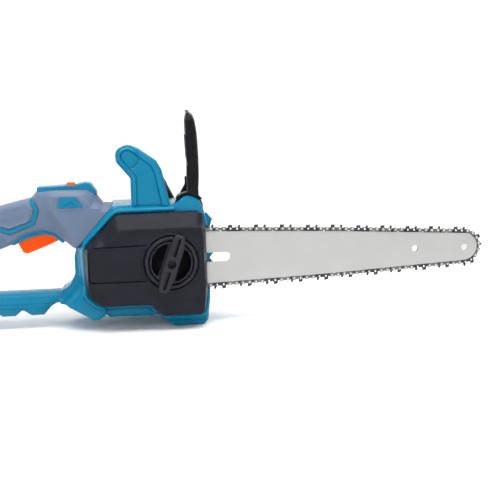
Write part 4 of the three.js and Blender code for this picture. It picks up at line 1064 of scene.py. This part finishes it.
def grips():
    edges = [GRIP_EDGE, NECK_EDGE]
    ribs = rib_lines()
    for name, side, wide in (("right", -1, 35.4), ("left", 1, 39)):
        def outer(p):
            return side * np.maximum(grip_half(p, wide), SEAM + 0.1)

        def inner(p):
            d = np.maximum(depth(p, GRIP_EDGE), depth(p, NECK_EDGE))
            room = grip_half(p, wide) - WALL * 2
            return side * np.maximum(SEAM, np.where(d > WALL, np.minimum(room, GRIP + 6), SEAM))

        low, high = (outer, inner) if side < 0 else (inner, outer)
        body = relief(
            edges, low, high, holes=[grown(BODY_EDGE, 0.3), grown(REAR_EDGE, 0.3)],
            lines=[WINDOW_EDGE, BAND, PANEL, FACET_EDGE, RIB_FIELD, FRAME], paths=ribs,
            rings=[(GRIP_EDGE, [0.3, 0.8, 1.6, 2.6, 4, 5.6, 7.6, 10, 13]), (NECK_EDGE, [0.3, 1, 2, 3.4, 5]),
                   (FRAME, [0.6, 1.2]), (WINDOW_EDGE, [-1.4, -0.7]), (BAND, [-1.6, -1, -0.4, 0.4]),
                   (PANEL, [-3.4, -2.7, -1.8, -0.9, 0.6]), (RIB_FIELD, [0.8, 1.6])],
            fine=[(PANEL, 0.75)], grid=3.4, step=1.8)
        piece("grip_shell_" + name, body, GREY, "saw_body", ["grip_overmold_" + name],
              sharp=44,
              cuts=[prism(TRIGGER_SLOT, -8, 8), box(-124, -104, -6.5, 6.5, 150, 190)])

        def proud(amount, edge):
            return lambda p: side * (grip_half(p, wide) + amount - roll(depth(p, edge), 0.7)
                                     + 0.9 * hump(depth(p, BAND), -1.6, 1.2))

        def sunk(p):
            return side * (grip_half(p, wide) - 2.2)

        faces = (proud(0.8, BAND), sunk) if side < 0 else (sunk, proud(0.8, BAND))
        band = relief([BAND], *faces, rings=[(BAND, arc_depths(0.7, 3) + [1.2, 2])], grid=2, step=1.2)
        arrow = np.array([[-124.2, 153.8], [-118.5, 157.6], [-111.6, 161], [-113.4, 158.2], [-108.4, 154.2],
                          [-116.4, 154.6]])

        def pane(p):
            d = depth(p, WINDOW_EDGE)
            return side * (grip_half(p, wide) + 1.0 - roll(d, 0.8) - 0.7 * step_up(depth(p, arrow), 0, 0.5))

        faces = (pane, sunk) if side < 0 else (sunk, pane)
        window = relief([WINDOW_EDGE], *faces, lines=[arrow],
                        rings=[(WINDOW_EDGE, arc_depths(0.8, 3)), (arrow, [0.25, 0.5])],
                        grid=2, step=1.2)
        piece("grip_band_" + name, band, TEAL, "saw_body",
              within=[prism(offset(dense(GRIP_EDGE, 2), 0.5), -60, 60)])
        piece("grip_window_" + name, window, TEAL, "saw_body")


def handle_fittings():
    cap = rounded([[-155.8, 168, 1], [-155.8, 175.3, 1.1], [-108, 177, 12], [-100.4, 179.8, 7],
                   [-92, 178.6, 5], [-85.2, 168.5, 4],
                   [-84.6, 163.6, 1], [-92.6, 163.6, 2], [-97, 168, 2]])
    piece("handle_cap", prism(cap, -13, 13), TEAL, "saw_body", ["handle_top_cap"], bevel=1.1,
          cuts=[box(-124, -104, -6.5, 6.5, 150, 200)])
    rim = rounded([[-188.6, 104.6, 1.6], [-189.4, 110.6, 2], [-171, 122, 8], [-151, 127, 8], [-139, 125, 8],
                   [-130, 116, 4],
                   [-125.6, 108.4, 1.5], [-128.8, 105.6, 1.5], [-138, 114.6, 8], [-151, 118.2, 10],
                   [-170, 113, 8]])
    piece("trigger_rim", prism(rim, -13.4, 13.4), TEAL, "saw_body", bevel=0.9,
          cuts=[prism([[-186.4, 88], [-129, 88], [-129, 127.5], [-150, 127.5], [-186.4, 118.5]], -8, 8)])
    edge = rounded([[-183, 107, 3], [-177.5, 95, 3], [-172, 93.2, 3], [-150, 101.5, 20], [-130.5, 110, 3],
                    [-131, 122, 4],
                    [-134, 135, 5], [-146, 135, 5], [-149, 122, 4], [-162, 119, 8], [-180, 112, 3]])
    face = rounded([[-178, 105, 3], [-174.6, 98.4, 2.4], [-171.5, 97.2, 3], [-150, 105, 20], [-138, 110.5, 3],
                    [-140, 114, 3],
                    [-152, 114.6, 10], [-168, 111, 8]])

    def half(p):
        return 7.2 - roll(depth(p, edge), 2.4) - 0.5 * step_up(depth(p, face), 0, 1)

    body = relief([edge], lambda p: -half(p), half, holes=[circle((-140, 129), 2.3, 20)], lines=[face],
                  rings=[(edge, arc_depths(2.4)), (face, [0.5, 1])], grid=2.4, step=1.4)
    piece("trigger_blade", body, ORANGE, "trigger", ["trigger"])
    top = rounded([[-121, -5.5, 1.8], [-111, -5.5, 1.8], [-111, 5.5, 1.8], [-121, 5.5, 1.8]], 0.6)

    def crown(p):
        ribs = 0.5 * (0.5 - 0.5 * np.cos((p[:, 0] + 121) * 2 * np.pi / 2.5)) * step_up(depth(p, top), 0.8,
            1.4)
        return 179.5 - roll(depth(p, top), 1.4) - ribs

    button = relief([top], lambda p: np.full(len(p), 157.0), crown, rings=[(top, arc_depths(1.4, 4))],
                    paths=[[[x, -4.6], [x, 4.6]] for x in np.arange(-119.75, -112, 0.625)], grid=1.6,
                    step=0.9, plane="xy")
    piece("lock_off_key", [button, prism([[-125, 158], [-107, 158], [-107, 162], [-125, 162]], -9, 9)],
          ORANGE, "lock_off",
          ["lock_off_button"])


# ---------- chain path ----------
RAIL = {"heel_x": 18, "heel_r": 60, "heel_half": 36.9, "mid_x": 200, "mid_r": 4000, "bulge": 1.5}


def belt_circles():
    """Six circles the chain runs round, as (x, z, radius), anticlockwise from the drive sprocket."""
    nose_r, drive_r = PITCH * NOSE_TEETH / (2 * math.pi), PITCH * DRIVE_TEETH / (2 * math.pi)
    slope = (RAIL["heel_half"] - nose_r) / (NOSE_X - RAIL["heel_x"])
    tilt = math.atan(slope)
    mid_half = RAIL["heel_half"] - slope * (RAIL["mid_x"] - RAIL["heel_x"]) + RAIL["bulge"]

    def mid(s):
        return (RAIL["mid_x"] - RAIL["mid_r"] * math.sin(tilt),
                AXIS_Z + s * (mid_half - RAIL["mid_r"] * math.cos(tilt)),
                RAIL["mid_r"])

    def heel(s):
        return RAIL["heel_x"], AXIS_Z + s * (RAIL["heel_half"] - RAIL["heel_r"]), RAIL["heel_r"]

    return [(DRIVE_X, AXIS_Z, drive_r), heel(-1), mid(-1), (NOSE_X, AXIS_Z, nose_r), mid(1), heel(1)]


def belt_legs(circles):
    """Arcs (circle, start angle, turn) joined by straight stretches."""
    normals = []
    for c, n in zip(circles, circles[1:] + circles[:1]):
        gap = math.hypot(n[0] - c[0], n[1] - c[1])
        normals.append(math.atan2(n[1] - c[1], n[0] - c[0]) - math.acos((c[2] - n[2]) / gap))
    return [(c, normals[i - 1], (normals[i] - normals[i - 1]) % (2 * math.pi)) for i, c in enumerate(circles)]


def belt_points(circles, grow, step):
    """The closed path round the circles, moved outwards by grow."""
    points = []
    for (x, z, r), start, turn in belt_legs([(x, z, r + grow) for x, z, r in circles]):
        count = max(2, math.ceil(turn * r / step))
        points += [(x + r * math.cos(start + turn * k / count), z + r * math.sin(start + turn * k / count))
                   for k in range(count + 1)]
    return np.array(points)


BELT = belt_circles()


# ---------- guide bar ----------
def guide_bar():
    tail = [(-28, AXIS_Z + s * 9, 9 + BAR_RAIL) for s in (-1, 1)]
    circles = [tail[0], *BELT[1:], tail[1]]
    edge = dense(belt_points(circles, -BAR_RAIL, 2.5), 6)
    core = belt_points(circles, -BAR_RAIL - 7, 4)
    core = core[core[:, 0] < NOSE_X - 20]
    slot = rounded([[-18, 79, 5.9], [75.8, 79, 5.9], [75.8, 91, 5.9], [-18, 91, 5.9]])
    holes = [slot, circle((318, 85), 4.3, 32), circle((-8, 105), 3, 20), circle((-8, 65), 3, 20)]
    nose = circle((NOSE_X, AXIS_Z), 4.6, 32)
    rail = offset(edge, 3.4)
    rail_in = offset(edge, 4.0)

    def skin(sign):
        def face(p):
            d = depth(p, edge)
            return BAR_Y + sign * (BAR_THICK / 2 - 0.14 * hump(d, 3.4, 4.0) - roll(d, 0.3))
        return face

    def flat(sign):
        return lambda p: np.full(len(p), BAR_Y + sign * 0.75)

    plates = [
        relief([edge], low, high, holes=[*holes, nose], lines=[rail, rail_in], rings=[(edge, [0.1, 0.3])],
               grid=14, step=5)
        for low, high in ((skin(-1), flat(-1)), (flat(1), skin(1)))
    ]
    middle = relief([core], flat(-1), flat(1), holes=holes, grid=20, step=6)
    piece("bar_plate", [*plates, middle], BAR_STEEL, "saw_body", ["guide_bar"], sharp=30)
    profile = [(0.05, 2.3), (1.3, 2.45), (3.8, 2.75), (4.4, 2.5), (4.4, -2.5), (3.8, -2.75), (1.3, -2.45),
               (0.05, -2.3)]
    rivet = lathe([(r, BAR_Y + y) for r, y in profile], (NOSE_X, AXIS_Z), 40)
    piece("bar_nose_rivet", rivet, CHROME_AND_GLINT, "saw_body", ["nose_rivet"])


# ---------- chain ----------
CHAIN_START = 3.0                          # how far round the belt the first rivet is
# The link where the row of cutters begins. 31 cutters are an odd number, so two left ones meet there.
FIRST_CUTTER = 50
RIVET_LINE = -0.3                          # rivets, outwards from the pitch line
DRIVE_LINK = [[-6.9, 1.9, 1.6], [0, 1.4, 6], [6.9, 1.9, 1.6], [7.1, -2.6, 1.6], [3.4, -5.4, 1.5],
              [1.4, -9, 1.2],
              [-1.8, -9, 1.4], [-3.6, -5.6, 1.5], [-7.1, -2.6, 1.6]]
STRAP = [[-7, -2.9, 2.3], [-3, -2.9, 2], [0, -1.5, 2.5], [3, -2.9, 2], [7, -2.9, 2.3], [7, 2.4, 2.3],
         [3, 2.4, 2],
         [0, 0.9, 2.5], [-3, 2.4, 2], [-7, 2.4, 2.3]]
CUTTER = [[-7.3, -2.9, 2.2], [7.2, -2.9, 2.2], [7.8, 1.5, 1], [8.1, 4.9, 0.7], [5.8, 5.3, 0.7],
          [4.9, 2.6, 1.2],
          [3, 1.6, 1.4], [-0.4, 1.6, 1.2], [-2.4, 2.4, 0.8], [-1.7, 6.1, 0.4], [-6.9, 5.7, 0.8], [-7.5, 1, 1]]
TOP_PLATE = [[-1.2, 6.5, 0.2], [-7, 5.95, 0.5], [-7, 4.8, 0.3], [-1.9, 5.3, 0.2]]


def chain():
    route = belt_points(BELT, 0, 0.4)
    length = np.concatenate([[0], np.cumsum(np.linalg.norm(np.diff(np.vstack([route, route[:1]]), axis=0),
        axis=1))])
    loop = np.vstack([route, route[:1]])

    def pin(i):
        s = (CHAIN_START + i * PITCH / 2) % length[-1]
        return np.array([np.interp(s, length, loop[:, 0]), np.interp(s, length, loop[:, 1])])

    def put(part, a, b):
        """Moves a part drawn at the origin onto the link between two rivets, with +x along the chain."""
        middle, run = (a + b) / 2, (a - b) / np.linalg.norm(a - b)
        out = np.array([-run[1], run[0]])
        u, y, v = part[0].T
        place = middle[:, None] + run[:, None] * u + out[:, None] * (v + RIVET_LINE)
        return (np.stack([place[0], y + BAR_Y, place[1]], 1), *part[1:])

    drive = prism(rounded(DRIVE_LINK, 1.2), -0.62, 0.62)
    strap, side_plate = rounded(STRAP, 1.2), rounded(CUTTER, 1.2)
    links, cutters, rivets = [], [], []
    head = [(0.05, -2.4), (0.8, -2.35), (1.3, -2.1), (1.5, -1.8), (1.5, 1.8), (1.3, 2.1), (0.8, 2.35),
            (0.05, 2.4)]
    for k in range(LINKS):
        a, b, c = pin(2 * k), pin(2 * k + 1), pin(2 * k + 2)
        links.append((*put(drive, a, b), 1))
        count = (k - FIRST_CUTTER) % LINKS
        cutting = 0 if count % 2 else (1 if count % 4 == 0 else -1)
        for side in (-1, 1):
            if side != cutting:
                links.append((*put(prism(strap, side * 0.72, side * 1.8), b, c), 0))
                continue
            cutters.append((*put(prism(side_plate, side * 0.72, side * 1.95), b, c), 0))
            cutters.append((*put(prism(rounded(TOP_PLATE), side * 3.1, side * -0.5), b, c), 1))
        # Painted highlight: the rivets beside the cutters on the near side (towards -y, facing the camera)
        # get the bright chrome, and all other rivets are plain steel.
        for at, beside in ((a, (count - 1) % LINKS), (b, count)):
            rivets.append((*lathe([(r, BAR_Y + y) for r, y in head], at, 12), 0 if beside % 4 == 2 else 1))
    piece("chain_links", links, [LINK_STEEL, DARK_LINK], "saw_body", ["saw_chain"], bevel=0.16,
          segments=1)
    piece("chain_cutters", cutters, [DARK_LINK, CHROME_AND_GLINT], "saw_body", bevel=0.16, segments=1)
    piece("chain_rivets", rivets, [CHROME_AND_GLINT, STEEL], "saw_body", sharp=50)


# ---------- battery pack ----------
PACK_X0, PACK_X1, PACK_Z0, PACK_Z1, PACK_HALF = -398, REAR_X0 - 1.2, 3, 118, 38
PACK = [[PACK_X0 + 6, PACK_Z0, 8], [PACK_X1, PACK_Z0, 2], [PACK_X1, PACK_Z1, 3], [PACK_X0 + 14, PACK_Z1, 10],
        [PACK_X0, PACK_Z1 - 22, 12], [PACK_X0, PACK_Z0 + 10, 8]]


def battery():
    edge = rounded(PACK)
    room = rounded([[PACK_X0 + 4, PACK_Z0 + 3, 3], [PACK_X1 + 4, PACK_Z0 + 3], [PACK_X1 + 4, PACK_Z1 - 10],
                    [PACK_X0 + 15, PACK_Z1 - 10, 4], [PACK_X0 + 4.5, 91, 4]])
    panel = rounded([[PACK_X0 + 9, 14, 5], [PACK_X1 - 9, 14, 4], [PACK_X1 - 9, 106, 4],
                     [PACK_X0 + 19, 106, 8],
                     [PACK_X0 + 9, 90, 9]])
    ribs = [24 + 9 * k for k in range(8)]

    def half(p):
        d, inner = depth(p, edge), depth(p, panel)
        y = PACK_HALF - roll(d, 5)
        y -= 1.6 * step_up(inner, 0, 1.2)
        for z in ribs:
            y += 1.5 * hump(p[:, 1], z - 1.8, z + 1.8) * step_up(inner, 1.5, 4)
        return y

    shells = []
    for side in (-1, 1):
        def outer(p):
            return side * half(p)

        def inner(p):
            x, z = p.T
            latch = step_up(z, 87.8, 88) * (1 - step_up(z, 104, 104.2)) * (x < PACK_X0 + 16)
            rail = step_up(x, PACK_X1 - 12.2, PACK_X1 - 12) * (z < 10)
            wall = SEAM + (13 - SEAM) * np.maximum(latch, rail)
            return side * np.where(depth(p, room) > 0, PACK_HALF - 4.6, wall)

        low, high = (outer, inner) if side < 0 else (inner, outer)
        shells.append(relief(
            [edge], low, high, lines=[panel, offset(panel, 1.2), offset(dense(edge, 2), 5)],
            paths=[[[PACK_X0 + 12, z + s], [PACK_X1 - 11, z + s]] for z in ribs
                   for s in (-1.8, -0.9, 0, 0.9, 1.8)]
            + [[*room, room[0]]] + [[[PACK_X0, z], [PACK_X0 + 16, z]] for z in (87.8, 88, 104, 104.2)]
            + [[[PACK_X1 - s, PACK_Z0], [PACK_X1 - s, PACK_Z0 + 3]] for s in (12.2, 12)],
            rings=[(edge, arc_depths(5)), (panel, [0.6])], grid=5, step=2.4))
    piece("battery_shell", shells, BLACK, "battery_pack", ["battery_case"])
    key = rounded([[-12.6, 88.4, 2.5], [12.6, 88.4, 2.5], [12.6, 103.6, 2.5], [-12.6, 103.6, 2.5]])

    def press(p):
        d = depth(p, key)
        ribs = 0.5 - 0.5 * np.cos((p[:, 1] - 88) * 2 * np.pi / 2.6)
        return PACK_X0 - 1.5 + roll(d, 1.4) + 0.5 * ribs * step_up(d, 2, 3)

    latch = relief([key], press, lambda p: np.full(len(p), PACK_X0 + 2.5), rings=[(key, arc_depths(1.4, 4))],
                   paths=[[[-10, z], [10, z]] for z in np.arange(91.4, 101, 0.65)], grid=2.4, step=1.2,
                   plane="yz")
    piece("battery_release", latch, ORANGE, "battery_latch", ["battery_latch"])
    lamps = [lathe([(0.05, PACK_X0 + 0.6), (1.7, PACK_X0 + 0.6), (1.7, PACK_X0 - 0.4), (1.2, PACK_X0 - 0.7),
                    (0.05, PACK_X0 - 0.8)],
                   (y, 72), 24, "x") for y in (-9, -3, 3, 9)]
    piece("battery_charge_lamps", lamps, TANK, "battery_pack")
    feet = [box(PACK_X0 + 12, PACK_X1 - 8, y - 3, y + 3, PACK_Z0 - 0.8, PACK_Z0 + 2) for y in (-24, 24)]
    piece("battery_feet", feet, RUBBER, "battery_pack", bevel=0.5)


# ---------- small fittings ----------
def star(at, radius):
    return np.array([[at[0] + (radius if k % 2 else radius * 0.68) * math.cos(math.pi * k / 6),
                      at[1] + (radius if k % 2 else radius * 0.68) * math.sin(math.pi * k / 6)]
                     for k in range(12)])


def screw(at, base, radius=3.8, height=2.4):
    """A pan head screw with a six-point recess, its head standing up from base towards the user's left."""
    rim, recess = circle(at, radius, 32), star(at, radius * 0.5)

    def face(p):
        return base + height - roll(depth(p, rim), 1.2) - 1.5 * step_up(depth(p, recess), 0, 0.2)

    return relief([rim], lambda p: np.full(len(p), base - 1.5), face, lines=[recess, offset(recess, 0.2)],
                  rings=[(rim, arc_depths(1.2, 3))], grid=1.4, step=0.9)


def fittings():
    heads = [screw(at, float(left_half(np.array([at], float))[0])) for at in SCREWS_LEFT]
    heads += [screw(at, LEFT + 11) for at in TUBE_SCREWS]
    piece("housing_screws", heads, DARK_STEEL, "saw_body", sharp=40)
    pin = [(0.05, 42), (3.5, 42), (3.5, 51.3), (5.6, 51.3), (5.8, 51.9), (5.2, 53.2), (3.4, 53.8), (2, 53.8),
           (1.9, 52.6),
           (0.05, 52.6)]
    piece("guard_pivot_pin", lathe(pin, (PIVOT_X, PIVOT_Z), 40), STEEL, "saw_body",
          ["guard_pin_left"], bevel=0.15)
    teeth = [c for z in (65, 83, 101) for c in ([50.9, z, 0.6], [57.5, z + 9, 0.4])]
    spikes = rounded([[50.3, 56, 1], *teeth, [50.9, 120, 1], [55, 132, 0.5], [48, 140, 1], [46.6, 138],
                      [50.3, 121]], 0.8)
    piece("bumper_strip", prism(spikes, -29, -19), TEAL, "saw_body", ["bumper_spikes"],
          bevel=0.5)
    catcher = [(0.05, -54.6), (4, -55), (5, -54), (5, -48), (3.9, -47), (3.9, -43), (5, -42), (5, -33.3),
               (0.05, -33.3)]
    piece("chain_catch_pin", lathe(catcher, (30, 29), 40), ALUMINIUM, "saw_body",
          ["chain_catcher"], bevel=0.2)


def oil_cap():
    x, z = FILLER
    profile = [(0.05, 40), (8.6, 40), (8.6, 45.6), (15.4, 45.6), (16, 46.2), (16, 50.6), (15.2, 52),
               (13.4, 52.6), (12.6, 51.8),
               (11.4, 51.6), (0.05, 51.6)]
    knurls = []
    for k in range(36):
        a = 2 * math.pi * k / 36
        c, s = math.cos(a), math.sin(a)
        mark = [(x + r * c - t * s, z + r * s + t * c) for r,
                t in ((15.6, -0.75), (16.4, -0.4), (16.4, 0.4), (15.6, 0.75))]
        knurls.append(prism(mark, 46.6, 50.4))
    wing = rounded([[x - 13, z - 2.6, 2], [x, z - 3.4, 8], [x + 13, z - 2.6, 2], [x + 13, z + 2.6, 2],
                    [x, z + 3.4, 8],
                    [x - 13, z + 2.6, 2]])
    grip = relief([wing], lambda p: np.full(len(p), 51.0), lambda p: 59 - roll(depth(p, wing), 1.8) - 1.6 *
                  (np.abs(p[:, 0] - x) / 13) ** 2, rings=[(wing, arc_depths(1.8, 4))], grid=2, step=1.4)
    piece("oil_filler_cap", [lathe(profile, FILLER, 72), *knurls, grip], BLACK, "oil_cap",
          ["oil_cap"],
          bevel=0.2, segments=2)


CAD_FINISH = {
    "trigger_pin": STEEL, "trigger_spring": STEEL, "switch_module": BLACK, "guard_pin_right": STEEL,
    "brake_spring": STEEL, "brake_band": DARK_STEEL, "nose_sprocket": DARK_STEEL, "drive_shaft": STEEL,
    "drive_sprocket": DARK_STEEL, "brake_drum": DARK_STEEL, "drive_gear": STEEL, "pump_worm": BRASS,
    "shaft_bearing_front": STEEL, "shaft_bearing_rear": STEEL, "gear_plate": ALUMINIUM,
    "motor_shaft": STEEL, "motor_rotor": DARK_STEEL, "motor_stator": DARK_STEEL, "motor_windings": COPPER,
    "motor_bearing_front": STEEL, "motor_bearing_rear": STEEL, "motor_fan": KNOB, "oil_tank": TANK,
    "oil_hose": RUBBER, "oil_filter": BRASS, "oil_pump_body": ALUMINIUM, "oil_pump_plunger": STEEL,
    "tension_cam": STEEL, "clamp_nut": BRASS, "bar_stud": STEEL, "controller_board": BOARD,
    "power_lead": RUBBER, "terminal_block": BLACK, "battery_face": BLACK, "battery_cell_block": CELL,
    "battery_terminals": BRASS,
}


def finish_cad_nodes():
    """Materials, smooth shading and slightly broken edges for the CAD nodes that are shown as they are."""
    for name, chosen in CAD_FINISH.items():
        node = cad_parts[name]
        node.data.materials.clear()
        node.data.materials.append(chosen)
        node.data.polygons.foreach_set("material_index", [0] * len(node.data.polygons))
        node.data.polygons.foreach_set("use_smooth", [True] * len(node.data.polygons))
        node.data.set_sharp_from_angle(angle=math.radians(34))
        modifier = node.modifiers.new("broken_edges", "BEVEL")
        modifier.width, modifier.segments = 0.2 * MM, 2
        modifier.limit_method, modifier.angle_limit = "ANGLE", math.radians(40)


grips()
handle_fittings()
guide_bar()
chain()
battery()
fittings()
oil_cap()
finish_cad_nodes()
